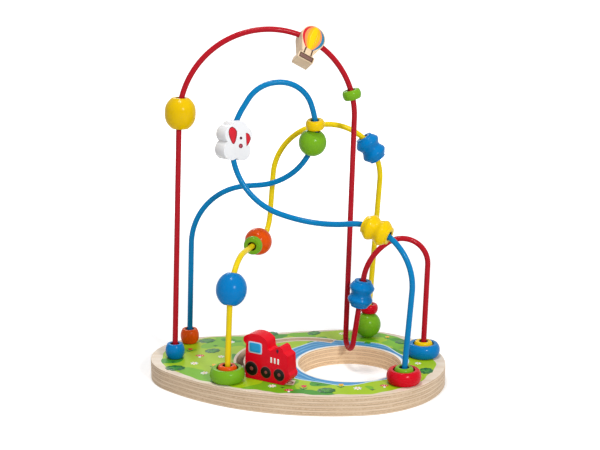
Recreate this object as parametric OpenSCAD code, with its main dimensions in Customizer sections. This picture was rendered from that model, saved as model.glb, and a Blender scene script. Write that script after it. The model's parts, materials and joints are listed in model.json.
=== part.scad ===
// Bead maze: three bent wires on a plywood base, with beads that slide along them
// and a train that runs in a curved slot.

/* [Base] */
// Length of the base, left to right
base_l = 300; // [260:1:340]
// Thickness of the plywood board
base_t = 20; // [16:1:26]
// Radius of the narrow left end
nose_l_r = 64; // [56:1:70]
// Radius of the wide right end
nose_r_r = 100; // [90:1:108]
// How far the left end's centre lies behind the right end's
nose_offset = 13; // [4:1:20]
// Radius of the front side
flank_r = 232; // [190:1:400]
// Diameter of the round opening
hole_d = 104; // [80:1:112]

/* [Train slot] */
// Radius of the slot's centre line
slot_r = 66; // [60:1:70]
// Width of the slot in the top face
slot_w = 7; // [6:0.5:9]
// Width of the keeper's channel in the underside
channel_w = 18; // [15:0.5:22]
// Depth of the keeper's channel
channel_h = 10; // [8:0.5:12]

/* [Wires] */
// Diameter of the coated wires
wire_d = 5.6; // [4.5:0.1:6]
// Height of the tallest wire's axis above the base
wire_rise = 332; // [290:1:370]
// Depth of the wires in their sockets
socket_h = 14; // [8:0.5:15]

/* [Round beads] */
// Diameter of the balls
ball_d = 28; // [24:0.5:30]
// Length of the balls between the flats at their bores
ball_l = 26.4; // [23:0.1:28]
// Diameter of the barrel
barrel_d = 30.5; // [26:0.5:33]
// Length of the barrel
barrel_l = 30.5; // [26:0.5:34]
// Diameter of the barrel's ends
barrel_end_d = 16; // [14:0.5:20]
// Diameter of the oval bead
oval_d = 30; // [26:0.5:33]
// Length of the oval bead
oval_l = 31.5; // [29:0.5:34]
// Diameter of the oval bead's ends
oval_end_d = 11; // [10.5:0.5:14]
// Diameter of the rings
ring_d = 19; // [17:0.5:20]
// Height of the rings
ring_h = 9.5; // [8:0.5:11]
// Diameter of the rings' flat ends
ring_end_d = 16; // [13:0.5:16.5]
// Diameter of the two small beads on the base
stop_d = 19.5; // [17:0.5:22]
// Height of the two small beads on the base
stop_h = 15; // [12:0.5:17]
// Diameter of the small beads' flat ends
stop_end_d = 15; // [13:0.5:16]

/* [Cup beads] */
// Diameter of the cups
cup_d = 34; // [31:0.5:36]
// Height of the cups
cup_h = 13.5; // [11.5:0.5:15]
// Diameter of the cups' flat ends
cup_end_d = 28.5; // [26:0.5:30]
// Depth of the recess that holds a ring
recess_h = 7.5; // [6:0.5:8]
// Room around the ring in the recess
recess_play = 1.2; // [1:0.1:1.6]

/* [Ridged beads] */
// Diameter of the two ridges
ridged_d = 25.5; // [23:0.5:28]
// Length of the ridged beads
ridged_l = 28; // [25:0.5:31]
// Diameter of the end collars
collar_d = 17.5; // [16:0.5:19]
// Diameter of the waist between the ridges
waist_d = 20.5; // [18:0.5:22]
// Width of each ridge
ridge_w = 10; // [8:0.5:11]
// Distance between the middles of the two ridges
ridge_pitch = 13.75; // [12:0.25:15]

/* [Balloon bead] */
// Width of the balloon's envelope
balloon_w = 25.5; // [23:0.5:29]
// Height of the balloon with its basket
balloon_h = 41; // [38:0.5:45]
// Thickness of the balloon's slab
balloon_t = 15; // [13:0.5:18]
// Width of the basket
basket_w = 17; // [14:0.5:20]
// Height of the basket
basket_h = 7; // [6:0.5:9]

/* [Puppy bead] */
// Width of the puppy's head over both ears
puppy_w = 33; // [30:0.5:37]
// Height of the puppy's head
puppy_h = 39; // [35:0.5:43]
// Thickness of the puppy's slab
puppy_t = 15; // [13:0.5:18]

/* [Train] */
// Length of the train over its bumper
train_l = 53; // [48:0.5:56]
// Height of the train over its cab
train_h = 46.5; // [43:0.5:50]
// Radius of the cab's roof
roof_r = 20; // [18:0.5:24]
// Thickness of the train's slab
train_t = 15; // [13:0.5:16]
// Distance between the two guide sleeves
guide_gap = 26; // [20:0.5:32]
// Thickness of the keeper under the slot
keeper_t = 4; // [3:0.5:5]
// Play of the keeper between the walls of its channel
keeper_play = 1.2; // [0.8:0.1:2]
// Shank diameter of the guide screws
screw_d = 3; // [2.5:0.1:3.5]
// Head diameter of the guide screws
screw_head_d = 7; // [6:0.5:8]
// Depth of the guide screws in the train
screw_bite = 14; // [10:0.5:16]

/* [Fits] */
// Gap between pieces that run on each other
run_gap = 0.3; // [0.25:0.05:0.5]
// Play between a bead's bore and a straight wire
bead_play = 0.9; // [0.6:0.05:0.95]
// Bevel at the mouths of the bores
mouth = 1; // [0.5:0.1:1.2]
// Room between the train's way and the cup beside it
cup_room = 1; // [0.5:0.1:3]
// Glue gap around the wires and screws
glue_gap = 0.05; // [0.03:0.01:0.1]

/* [Hidden] */
$fn = 64;
// Overrun of every cut
over = 1;
// Width by which a bend's seam stands out of the wire, and its length
seam = 0.1;
seam_l = 1.2;
// Width by which the slot's drilled ends exceed its routed part
slot_relief = 0.5;
// Height of the screw heads
screw_head_h = 2.4;
// Rounding of the train's corners
train_round = 1.6;
// Rounding of the balloon's corners
balloon_round = 1.2;

// Places of the round opening and of the slot's centre, as shares of the half sizes
hole_shares = [0.353, -0.07];
slot_shares = [0.05, 0.02];
// Angles of the slot's front and back ends, and of the train at rest
slot_ends = [66, 257];
train_angle = 239;
// Angle of the cup beside the slot, seen from the slot's centre
cup_angle = 218.2;
// Furthest point of the train's front from its middle, as a share of its length
bumper_share = 0.513;
// Distances along the wires where beads rest, as shares of their leg or bend
barrel_share = 1.018;
balloon_share = 0.32;
arch_ring_share = 0.824;
low_ridged_share = 0.77;
loop_ball_share = 0.693;
puppy_share = 0.26;
front_ridged_share = 0.275;
oval_share = 0.222;
run_ball_share = 0.75;
high_ridged_share = 0.60;
// Width of the keeper between its round ends, as a share of theirs
keeper_waist_share = 0.7;
// Width of the balloon's neck, as a share of the basket's
neck_share = 0.6;
// Radii of the puppy's crown, face, ears and cheeks, as shares of the head's width
crown_share = 0.36;
face_share = 0.34;
ear_share = 0.27;
cheek_share = 0.3;
// Height of the ears above the head's middle, as a share of its height
ear_rise_share = 0.14;
// Turns about the wire of the beads that face one way
balloon_roll = 55;
puppy_roll = 48;

function unit(v) = v / norm(v);
function dir(a) = [cos(a), sin(a)];
function heading(v) = atan2(v[1], v[0]);
function arc(c, r, a0, a1, n) = [for (k = [0:n]) c + r * dir(a0 + (a1 - a0) * k / n)];

// Base outline: two round ends, a straight back and a bowed front
half_l = base_l / 2;
nose_step = [base_l - nose_l_r - nose_r_r, -nose_offset];
nose_span = norm(nose_step);
nose_dir = unit(nose_step);
back_angle = heading(nose_step) + acos((nose_l_r - nose_r_r) / nose_span);
flank_x = ((flank_r - nose_l_r) ^ 2 - (flank_r - nose_r_r) ^ 2 + nose_span ^ 2) / (2 * nose_span);
flank_y = sqrt((flank_r - nose_l_r) ^ 2 - flank_x ^ 2);
flank_step = nose_dir * flank_x + [-nose_dir[1], nose_dir[0]] * flank_y;
front_y = nose_offset + flank_step[1] - flank_r;
base_d = nose_r_r - front_y;
half_d = base_d / 2;
nose_r = [half_l - nose_r_r, half_d - nose_r_r];
nose_l = nose_r - nose_step;
flank = nose_l + flank_step;
flank_from = heading(nose_l - flank) + 360;
flank_to = heading(nose_r - flank) + 360;
base_points = concat(
    arc(nose_l, nose_l_r, back_angle, flank_from, 48),
    arc(flank, flank_r, flank_from, flank_to, 30),
    arc(nose_r, nose_r_r, flank_to, back_angle + 360, 72));
hole = [hole_shares[0] * half_l, hole_shares[1] * half_d];
slot = [slot_shares[0] * half_l, slot_shares[1] * half_d];
// Radius that the train sweeps on its way, and the wire foot whose cup stands clear of it
sweep_r = norm([slot_r + train_t / 2, bumper_share * train_l]);
cup_foot = slot + (sweep_r + cup_d / 2 + cup_room) * dir(cup_angle);
// Wedge around the slot's centre that the slot leaves out
slot_rest = concat([[0, 0]], arc([0, 0], 2 * slot_r, slot_ends[1], slot_ends[0] + 360, 12));

// Wire corners: plan place as shares of the base's half sizes, height as a share of the wires' rise,
// and the share of the shorter leg that the bend takes. Two shoulders form one round arch.
red_arch_shares = [[-0.75, 0.12], [0.40, 0.43]];
yellow_arch_shares = [[-0.14, 0.71], [0.60, 0.77]];
function under_arch(s, x) = [x, s[0][1] + (s[1][1] - s[0][1]) * (x - s[0][0]) / (s[1][0] - s[0][0])];
red_corner_shares = [
    [under_arch(red_arch_shares, -0.835), 0, 0],
    [red_arch_shares[0], 1, "left shoulder"],
    [red_arch_shares[1], 1, "right shoulder"],
    [under_arch(red_arch_shares, 0.335), 0.01, 0.44],
    [[0.375, 0.20], 0.01, 0.44],
    [[0.47, 0.19], 0.312, 0.29],
    [[0.89, 0.17], 0.455, 0.69],
    [[0.86, 0.15], 0, 0]];
blue_corner_shares = [
    [[-0.76, 0.57], 0, 0],
    [[-0.72, 0.57], 0.499, 0.39],
    [[0.243, 0.32], 0.543, 0.71],
    [[0.045, 0.18], 0.854, 0.58],
    [[-0.256, 0.08], 0.846, 0.38],
    [[-0.666, -0.04], 0.552, 0.765],
    [[0.116, -0.14], 0.435, 0.30],
    [[0.767, -0.60], 0.487, 0.645],
    [[0.685, -0.627], 0, 0]];
yellow_corner_shares = [
    [[cup_foot[0] / half_l, cup_foot[1] / half_d], 0, 0],
    [[-0.42, -0.54], 0.357, 0.347],
    [under_arch(yellow_arch_shares, -0.2), 0.348, 0.19],
    [yellow_arch_shares[0], 0.694, "left shoulder"],
    [yellow_arch_shares[1], 0.694, "right shoulder"],
    [under_arch(yellow_arch_shares, 0.495), 0, 0]];

// A wire is its corner points and the radius of the bend at each of them
function corner(row) = [row[0][0] * half_l, row[0][1] * half_d, base_t + row[1] * wire_rise];
function leg_dir(p, i) = unit(p[i + 1] - p[i]);
function leg_len(p, i) = norm(p[i + 1] - p[i]);
function turn_at(p, i) = acos(leg_dir(p, i - 1) * leg_dir(p, i));
function arch_r(p, i) = leg_len(p, i) / (tan(turn_at(p, i) / 2) + tan(turn_at(p, i + 1) / 2));
function bend_r(p, bend, i) =
    bend == "left shoulder" ? arch_r(p, i)
    : bend == "right shoulder" ? arch_r(p, i - 1)
    : bend * min(leg_len(p, i - 1), leg_len(p, i)) / tan(turn_at(p, i) / 2);
function wire(rows) =
    let (p = [for (row = rows) corner(row)], last = len(p) - 1)
    [p, [for (i = [0:last]) i == 0 || i == last ? 0 : bend_r(p, rows[i][2], i)]];
function turn(w, i) = turn_at(w[0], i);
function reach(w, i) = w[1][i] == 0 ? 0 : w[1][i] * tan(turn(w, i) / 2);
function leg_start(w, i) = w[0][i] + leg_dir(w[0], i) * reach(w, i);
function leg_span(w, i) = leg_len(w[0], i) - reach(w, i) - reach(w, i + 1);
function bend_start(w, i) = w[0][i] - leg_dir(w[0], i - 1) * reach(w, i);
function bend_centre(w, i) =
    w[0][i] + unit(leg_dir(w[0], i) - leg_dir(w[0], i - 1)) * w[1][i] / cos(turn(w, i) / 2);
red = wire(red_corner_shares);
blue = wire(blue_corner_shares);
yellow = wire(yellow_corner_shares);

// Places on a wire: z runs along it, and on a bend x points away from the bend's centre
function frame(x, z, o) =
    let (y = cross(z, x))
    [[x[0], y[0], z[0], o[0]], [x[1], y[1], z[1], o[1]], [x[2], y[2], z[2], o[2]], [0, 0, 0, 1]];
function on_leg(w, i, d) =
    let (z = leg_dir(w[0], i), x = unit(cross([0, 1, 0], z)))
    frame(x, z, leg_start(w, i) + z * d);
function on_bend(w, i, a, r) =
    let (c = bend_centre(w, i), out = unit(bend_start(w, i) - c), along = leg_dir(w[0], i - 1))
    let (x = out * cos(a) + along * sin(a), z = along * cos(a) - out * sin(a))
    frame(x, z, c + r * x);
function at_height(w, i, z) =
    let (s = leg_start(w, i), d = leg_dir(w[0], i))
    s + d * (z - s[2]) / d[2];

// Room that a straight bore needs on a bend, and on a leg that leans through an upright bead
function sag(r, l) = r - sqrt(r ^ 2 - l ^ 2 / 4);
function bend_bore_r(w, i, l) = wire_d / 2 + sag(w[1][i], l) / 2 + run_gap;
function bend_seat_r(w, i, l) = w[1][i] - sag(w[1][i], l) / 2;
function lean(w, i) = let (d = leg_dir(w[0], i)) norm([d[0], d[1]]) / abs(d[2]);
function upright_bore_r(w, i, h) = wire_d / 2 + lean(w, i) * h / 2 + bead_play;
leg_bore_r = wire_d / 2 + bead_play;
ball_end_d = sqrt(ball_d ^ 2 - ball_l ^ 2);
// Distance between a ball and a ring that rests on it
nest = (ball_l + ring_h) / 2 + run_gap;
// The same on the loop's bend, where the ring's inner edge tips towards the ball
bend_nest = nest * (1 + ring_end_d / blue[1][2] / 4);
loop_ball_angle = loop_ball_share * turn(blue, 2);
loop_ring_angle = loop_ball_angle + 2 * asin(bend_nest / 2 / blue[1][2]);
stop_z = base_t + run_gap + stop_h / 2;
cup_z = base_t + run_gap + cup_h / 2;
cup_ring_z = cup_z + cup_h / 2 - recess_h + run_gap + ring_h / 2;
stack_h = cup_ring_z + ring_h / 2 - base_t;
stack_z = base_t + stack_h / 2;

// The barrel hangs a little to one side of its wire, because its top is on the arch
barrel_d_leg = leg_span(red, 0) * barrel_share;
barrel_top = barrel_d_leg + barrel_l / 2 - leg_span(red, 0);
barrel_side = barrel_top ^ 2 / red[1][1] / 4;
barrel_bore_r = wire_d / 2 + barrel_side + run_gap;

// Train guide: sleeves in the slot, a keeper below and screws up into the train
sleeve_d = slot_w - 2 * run_gap;
sleeve_h = base_t - channel_h + 2 * run_gap;
keeper_w = channel_w - keeper_play;
keeper_waist_w = keeper_w * keeper_waist_share;
keeper_z = channel_h - run_gap - keeper_t;
train_z = base_t + run_gap;
guide_angle = asin(guide_gap / 2 / slot_r);
keeper_ends = [train_angle - guide_angle, train_angle + guide_angle];
keeper_points = concat(
    arc([0, 0], slot_r + keeper_waist_w / 2, keeper_ends[0], keeper_ends[1], 8),
    arc([0, 0], slot_r - keeper_waist_w / 2, keeper_ends[1], keeper_ends[0], 8));

// Half of a bead's cross-section, bulged from its ends to its middle
module bulged_profile(d, l, end_d) {
    rise = (d - end_d) / 2;
    r = (l ^ 2 / 4 + rise ^ 2) / (2 * rise);
    intersection() {
        translate([d / 2 - r, 0]) circle(r);
        translate([0, -l / 2]) square([d / 2, l]);
    }
}

// Half of a bore's cross-section, with a bevel at each end
module bore_profile(r, l) {
    translate([0, -l / 2 - over]) square([r, l + 2 * over]);
    for (side = [-1, 1])
        polygon([[0, side * (l / 2 - mouth)], [r, side * (l / 2 - mouth)],
            [r + mouth + over, side * (l / 2 + over)], [0, side * (l / 2 + over)]]);
}

module bulged_bead(d, l, end_d, bore_r) {
    rotate_extrude()
        difference() {
            bulged_profile(d, l, end_d);
            bore_profile(bore_r, l);
        }
}

// The oval bead is an ellipse turned about its bore, cut flat at both ends
module oval_bead(bore_r) {
    stretch = oval_l / sqrt(oval_d ^ 2 - oval_end_d ^ 2);
    rotate_extrude()
        difference() {
            intersection() {
                scale([1, stretch]) circle(d = oval_d);
                translate([0, -oval_l / 2]) square([oval_d, oval_l]);
            }
            bore_profile(bore_r, oval_l);
        }
}

module ball(bore_r) bulged_bead(ball_d, ball_l, ball_end_d, bore_r);

module ring(bore_r) bulged_bead(ring_d, ring_h, ring_end_d, bore_r);

module stop_bead(bore_r) bulged_bead(stop_d, stop_h, stop_end_d, bore_r);

module cup(bore_r) {
    recess_r = ring_d / 2 + recess_play;
    rotate_extrude()
        difference() {
            bulged_profile(cup_d, cup_h, cup_end_d);
            bore_profile(bore_r, cup_h);
            translate([0, cup_h / 2 - recess_h]) square([recess_r, recess_h + over]);
        }
}

module ridged_bead(bore_r) {
    rotate_extrude()
        difference() {
            union() {
                translate([0, -ridged_l / 2]) square([collar_d / 2, ridged_l]);
                translate([0, -ridge_pitch / 2]) square([waist_d / 2, ridge_pitch]);
                for (side = [-1, 1])
                    translate([0, side * ridge_pitch / 2]) bulged_profile(ridged_d, ridge_w, waist_d);
            }
            bore_profile(bore_r, ridged_l);
        }
}

// Bead slab with a bore along its z axis: the outline lies in the y and z plane
module bored_slab(t, l, bore_r) {
    difference() {
        rotate([90, 0, 90]) linear_extrude(t, center = true) children();
        cylinder(r = bore_r, h = 2 * l, center = true);
    }
}

// The ring rides above the cup, upright on a leg that leans
module upright(w, i, z) {
    place = at_height(w, i, stack_z);
    translate([place[0], place[1], z]) children();
}

module wire_solid(w) {
    last = len(w[0]) - 2;
    for (i = [0:last]) {
        below = i == 0 ? socket_h : 0;
        beyond = i == last ? socket_h : 0;
        if (leg_span(w, i) > seam)
            multmatrix(on_leg(w, i, -below))
                cylinder(d = wire_d, h = leg_span(w, i) + below + beyond);
    }
    for (i = [1:last]) {
        out = unit(bend_start(w, i) - bend_centre(w, i));
        axis = cross(out, leg_dir(w[0], i - 1));
        multmatrix(frame(out, axis, bend_centre(w, i)))
            rotate_extrude(angle = turn(w, i))
                translate([w[1][i], 0])
                    circle(d = wire_d);
        for (a = [0, turn(w, i)])
            multmatrix(on_bend(w, i, a, w[1][i]))
                cylinder(d = wire_d + seam, h = seam_l, center = true);
    }
}

// Sockets at both ends of a wire
module wire_sockets(w) {
    last = len(w[0]) - 2;
    multmatrix(on_leg(w, 0, -socket_h))
        cylinder(d = wire_d + 2 * glue_gap, h = 2 * socket_h);
    multmatrix(on_leg(w, last, leg_span(w, last) - socket_h))
        cylinder(d = wire_d + 2 * glue_gap, h = 2 * socket_h);
}

// Curved slot with drilled ends, around the slot's centre
module curved_slot(width, z, h) {
    translate([slot[0], slot[1], z]) {
        difference() {
            cylinder(r = slot_r + width / 2, h = h);
            translate([0, 0, -over]) {
                cylinder(r = slot_r - width / 2, h = h + 2 * over);
                linear_extrude(h + 2 * over) polygon(slot_rest);
            }
        }
        for (a = slot_ends)
            translate(slot_r * dir(a)) cylinder(d = width + slot_relief, h = h);
    }
}

module base_plate() {
    color("burlywood")
        difference() {
            linear_extrude(base_t) polygon(base_points);
            translate([hole[0], hole[1], -over]) cylinder(d = hole_d, h = base_t + 2 * over);
            curved_slot(slot_w, -over, base_t + 2 * over);
            curved_slot(channel_w, -over, channel_h + over);
            wire_sockets(red);
            wire_sockets(blue);
            wire_sockets(yellow);
        }
}

module red_wire() {
    color("firebrick") wire_solid(red);
}

module blue_wire() {
    color("dodgerblue") wire_solid(blue);
}

module yellow_wire() {
    color("gold") wire_solid(yellow);
}

module blue_stop_bead() {
    color("royalblue")
        translate(at_height(red, 0, stop_z)) stop_bead(upright_bore_r(red, 0, stop_h));
}

module yellow_barrel_bead() {
    color("gold")
        multmatrix(on_leg(red, 0, barrel_d_leg))
            translate([barrel_side, 0, 0])
                bulged_bead(barrel_d, barrel_l, barrel_end_d, barrel_bore_r);
}

module balloon_outline() {
    neck_w = basket_w * neck_share;
    drop = balloon_h - balloon_w / 2;
    offset(balloon_round) offset(-2 * balloon_round) offset(balloon_round)
        union() {
            hull() {
                circle(d = balloon_w);
                translate([0, basket_h - drop]) square([neck_w, balloon_round], center = true);
            }
            translate([-basket_w / 2, -drop]) square([basket_w, basket_h]);
        }
}

module balloon_bead() {
    color("wheat")
        multmatrix(on_bend(red, 2, balloon_share * turn(red, 2), bend_seat_r(red, 2, balloon_w)))
            rotate([0, 0, balloon_roll])
                bored_slab(balloon_t, balloon_w, bend_bore_r(red, 2, balloon_w))
                    rotate(90) balloon_outline();
}

module green_arch_ring() {
    color("limegreen")
        multmatrix(on_bend(red, 2, arch_ring_share * turn(red, 2), bend_seat_r(red, 2, ring_h)))
            ring(leg_bore_r);
}

module blue_low_ridged_bead() {
    color("dodgerblue")
        multmatrix(on_leg(red, 4, low_ridged_share * leg_span(red, 4)))
            ridged_bead(leg_bore_r);
}

module blue_cup_bead() {
    color("dodgerblue") upright(red, 6, cup_z) cup(upright_bore_r(red, 6, stack_h));
}

module yellow_cup_ring() {
    color("gold") upright(red, 6, cup_ring_z) ring(upright_bore_r(red, 6, stack_h));
}

module orange_stop_bead() {
    color("darkorange")
        translate(at_height(blue, 0, stop_z)) stop_bead(upright_bore_r(blue, 0, stop_h));
}

module green_loop_ball() {
    color("limegreen")
        multmatrix(on_bend(blue, 2, loop_ball_angle, bend_seat_r(blue, 2, ball_l)))
            ball(bend_bore_r(blue, 2, ball_l));
}

module yellow_loop_ring() {
    color("gold")
        multmatrix(on_bend(blue, 2, loop_ring_angle, bend_seat_r(blue, 2, ring_h)))
            ring(leg_bore_r);
}

module puppy_outline() {
    crown_r = puppy_w * crown_share;
    ear_r = puppy_w * ear_share;
    cheek_r = puppy_w * cheek_share;
    ear = [puppy_w / 2 - ear_r, puppy_h * ear_rise_share];
    cheek = [puppy_w / 2 - cheek_r, cheek_r - puppy_h / 2];
    union() {
        translate([0, puppy_h / 2 - crown_r]) circle(crown_r);
        circle(puppy_w * face_share);
        for (side = [-1, 1]) {
            translate([side * ear[0], ear[1]]) circle(ear_r);
            translate([side * cheek[0], cheek[1]]) circle(cheek_r);
        }
    }
}

module puppy_bead() {
    color("white")
        multmatrix(on_bend(blue, 5, puppy_share * turn(blue, 5), bend_seat_r(blue, 5, puppy_h)))
            rotate([0, 0, puppy_roll])
                bored_slab(puppy_t, puppy_h, bend_bore_r(blue, 5, puppy_h))
                    rotate(180) puppy_outline();
}

module yellow_ridged_bead() {
    color("gold")
        multmatrix(on_bend(blue, 7, front_ridged_share * turn(blue, 7), bend_seat_r(blue, 7, ridged_l)))
            ridged_bead(bend_bore_r(blue, 7, ridged_l));
}

module red_cup_bead() {
    color("red") upright(blue, 7, cup_z) cup(upright_bore_r(blue, 7, stack_h));
}

module green_cup_ring() {
    color("limegreen") upright(blue, 7, cup_ring_z) ring(upright_bore_r(blue, 7, stack_h));
}

module green_cup_bead() {
    color("limegreen") upright(yellow, 0, cup_z) cup(upright_bore_r(yellow, 0, stack_h));
}

module orange_cup_ring() {
    color("darkorange") upright(yellow, 0, cup_ring_z) ring(upright_bore_r(yellow, 0, stack_h));
}

module blue_oval_bead() {
    color("dodgerblue")
        multmatrix(on_bend(yellow, 1, oval_share * turn(yellow, 1), bend_seat_r(yellow, 1, oval_l)))
            oval_bead(bend_bore_r(yellow, 1, oval_l));
}

module green_run_ring() {
    color("limegreen")
        multmatrix(on_leg(yellow, 1, run_ball_share * leg_span(yellow, 1) - nest))
            ring(leg_bore_r);
}

module orange_run_ball() {
    color("darkorange")
        multmatrix(on_leg(yellow, 1, run_ball_share * leg_span(yellow, 1)))
            ball(leg_bore_r);
}

module blue_high_ridged_bead() {
    color("dodgerblue")
        multmatrix(on_bend(yellow, 4, high_ridged_share * turn(yellow, 4), bend_seat_r(yellow, 4, ridged_l)))
            ridged_bead(bend_bore_r(yellow, 4, ridged_l));
}

// Distance of the lowest ball's centre from the end of its leg
foot_seat = ball_l / 2 + run_gap + lean(yellow, 4) * ball_end_d / 2;

module green_foot_ball() {
    color("limegreen")
        multmatrix(on_leg(yellow, 4, leg_span(yellow, 4) - foot_seat)) ball(leg_bore_r);
}

module red_foot_ring() {
    color("red")
        multmatrix(on_leg(yellow, 4, leg_span(yellow, 4) - foot_seat - nest)) ring(leg_bore_r);
}

// Side of the train, as shares of its length and height: rear of the cab, and front from the roof down
cab_side_shares = [[-0.443, 0], [-0.458, 0.19], [-0.43, 0.742], [-0.487, 0.806]];
nose_side_shares = [
    [0.049, 0.72], [0.098, 0.682], [0.292, 0.83], [0.351, 0.785], [0.381, 0.701], [0.464, 0.645],
    [0.481, 0.30], [bumper_share, 0.226], [0.498, 0.15], [0.377, 0]];
roof_share = -0.226;
roof_ends = [132, 48];
function train_side(shares) = [for (s = shares) [s[0] * train_l, s[1] * train_h]];
train_points = concat(
    train_side(cab_side_shares),
    arc([roof_share * train_l, train_h - roof_r], roof_r, roof_ends[0], roof_ends[1], 12),
    train_side(nose_side_shares));

module on_slot(a) {
    translate([slot[0], slot[1], 0]) rotate([0, 0, a]) translate([slot_r, 0, 0]) children();
}

// Places of the two guides under the train, along its length
module at_guides() {
    for (side = [-1, 1])
        on_slot(train_angle + side * guide_angle) children();
}

module train_body() {
    color("crimson")
        difference() {
            on_slot(train_angle)
                translate([0, 0, train_z])
                    rotate([90, 0, 90])
                        linear_extrude(train_t, center = true)
                            offset(train_round) offset(-2 * train_round) offset(train_round)
                                polygon(train_points);
            at_guides()
                translate([0, 0, train_z - over]) cylinder(d = screw_d + 2 * glue_gap, h = screw_bite + over);
        }
}

module guide_sleeves() {
    color("silver")
        at_guides()
            translate([0, 0, keeper_z + keeper_t])
                difference() {
                    cylinder(d = sleeve_d, h = sleeve_h);
                    translate([0, 0, -over]) cylinder(d = screw_d + 2 * glue_gap, h = sleeve_h + 2 * over);
                }
}

module train_keeper() {
    color("burlywood")
        translate([slot[0], slot[1], keeper_z])
            linear_extrude(keeper_t)
                difference() {
                    union() {
                        polygon(keeper_points);
                        for (a = keeper_ends)
                            translate(slot_r * dir(a)) circle(d = keeper_w);
                    }
                    for (a = keeper_ends)
                        translate(slot_r * dir(a)) circle(d = screw_d + 2 * glue_gap);
                }
}

module guide_screws() {
    color("silver")
        at_guides() {
            translate([0, 0, keeper_z - screw_head_h]) cylinder(d = screw_head_d, h = screw_head_h);
            translate([0, 0, keeper_z]) cylinder(d = screw_d, h = train_z + screw_bite - keeper_z - run_gap);
        }
}

base_plate();
red_wire();
blue_wire();
yellow_wire();
blue_stop_bead();
yellow_barrel_bead();
balloon_bead();
green_arch_ring();
blue_low_ridged_bead();
blue_cup_bead();
yellow_cup_ring();
orange_stop_bead();
green_loop_ball();
yellow_loop_ring();
puppy_bead();
yellow_ridged_bead();
red_cup_bead();
green_cup_ring();
green_cup_bead();
orange_cup_ring();
blue_oval_bead();
green_run_ring();
orange_run_ball();
blue_high_ridged_bead();
green_foot_ball();
red_foot_ring();
train_body();
guide_sleeves();
train_keeper();
guide_screws();
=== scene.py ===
"""Bead maze: lacquered beads on coated wires over a printed plywood base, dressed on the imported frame.

Sizes are in millimetres in the tables below and in metres in the meshes.
"""
import json
import logging
from collections.abc import Callable
from dataclasses import dataclass, field
from enum import Enum
from typing import ClassVar

import bpy
import numpy as np
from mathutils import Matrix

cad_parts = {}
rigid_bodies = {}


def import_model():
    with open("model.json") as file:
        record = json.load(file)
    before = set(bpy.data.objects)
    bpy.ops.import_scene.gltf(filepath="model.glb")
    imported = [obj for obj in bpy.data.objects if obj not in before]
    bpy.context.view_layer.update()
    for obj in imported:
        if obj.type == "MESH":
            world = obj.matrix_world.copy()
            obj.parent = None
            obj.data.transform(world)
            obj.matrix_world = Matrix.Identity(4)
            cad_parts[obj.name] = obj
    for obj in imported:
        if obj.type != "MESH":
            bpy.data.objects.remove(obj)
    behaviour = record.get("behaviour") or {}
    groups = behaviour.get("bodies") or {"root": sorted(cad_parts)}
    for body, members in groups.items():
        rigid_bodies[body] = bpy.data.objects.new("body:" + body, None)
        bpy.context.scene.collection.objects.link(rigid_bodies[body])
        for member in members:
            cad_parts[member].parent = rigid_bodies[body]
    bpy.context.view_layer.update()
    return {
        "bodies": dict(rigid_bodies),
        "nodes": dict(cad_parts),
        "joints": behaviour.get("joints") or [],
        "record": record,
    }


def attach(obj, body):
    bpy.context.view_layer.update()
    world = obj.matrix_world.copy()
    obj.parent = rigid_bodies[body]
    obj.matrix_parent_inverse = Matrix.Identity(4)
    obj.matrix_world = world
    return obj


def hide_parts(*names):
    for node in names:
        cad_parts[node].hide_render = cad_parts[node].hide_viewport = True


LOG = logging.getLogger("bead_maze")
MM = 0.001
Array = np.ndarray
Mesh = tuple[Array, Array]
Place = tuple[float, float, float]
Color = tuple[float, float, float, float]
Node = bpy.types.Node
Socket = bpy.types.NodeSocket
Sockets = bpy.types.bpy_prop_collection
FULL: Color = (1.0, 1.0, 1.0, 1.0)


class Hue(Enum):
    """Display colours of the finishes."""

    RED = (208, 6, 30)
    RED_BRIGHT = (231, 6, 34)
    BLUE = (0, 122, 192)
    YELLOW = (238, 199, 0)
    YELLOW_DEEP = (230, 189, 0)
    GREEN = (116, 173, 30)
    ORANGE = (230, 82, 8)
    WHITE = (240, 241, 244)
    WIRE_RED = (180, 18, 34)
    WIRE_BLUE = (0, 124, 184)
    WIRE_YELLOW = (236, 208, 18)
    ZINC = (206, 206, 204)
    ZINC_DULL = (176, 176, 172)
    BIRCH = (244, 232, 216)
    BIRCH_DARK = (218, 194, 164)
    PLY = (236, 216, 190)
    PLY_DARK = (206, 178, 146)
    PLY_END = (228, 205, 176)
    PLY_END_DARK = (192, 161, 128)
    GLUE = (140, 104, 74)
    # painted shade: dark brown that stands in for the shade inside a bead's narrow bore, over bare wood
    BORE = (62, 42, 28)
    BEECH = (244, 222, 190)
    BEECH_DARK = (206, 168, 124)
    INK_RED = (214, 30, 48)
    INK_MAROON = (140, 34, 52)
    INK_ROSE = (206, 104, 120)
    INK_PEACH = (250, 148, 84)
    INK_YELLOW = (242, 206, 0)
    INK_AMBER = (250, 184, 24)
    INK_BLUE = (48, 122, 160)
    INK_BROWN = (92, 66, 46)
    INK_TAUPE = (126, 92, 84)
    INK_BLACK = (20, 12, 12)
    INK_HUB = (150, 70, 70)
    INK_WINDOW = (24, 158, 218)
    INK_PALE = (190, 208, 232)
    INK_WHITE = (248, 246, 242)
    INK_WINE = (84, 14, 44)
    LEAF_LIGHT = (168, 203, 18)
    LEAF = (120, 184, 26)
    LEAF_DARK = (66, 148, 36)
    LEAF_DEEP = (30, 104, 40)
    POND = (52, 138, 196)
    POND_LIGHT = (120, 188, 224)
    BANK = (214, 236, 244)
    LIP = (247, 246, 240)

    @property
    def linear(self) -> Color:
        """The linear colour of the display values, with an alpha of 1."""
        c = np.array(self.value) / 255.0
        c = np.where(c <= 0.04045, c / 12.92, ((c + 0.055) / 1.055) ** 2.4)
        return (float(c[0]), float(c[1]), float(c[2]), 1.0)


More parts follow.
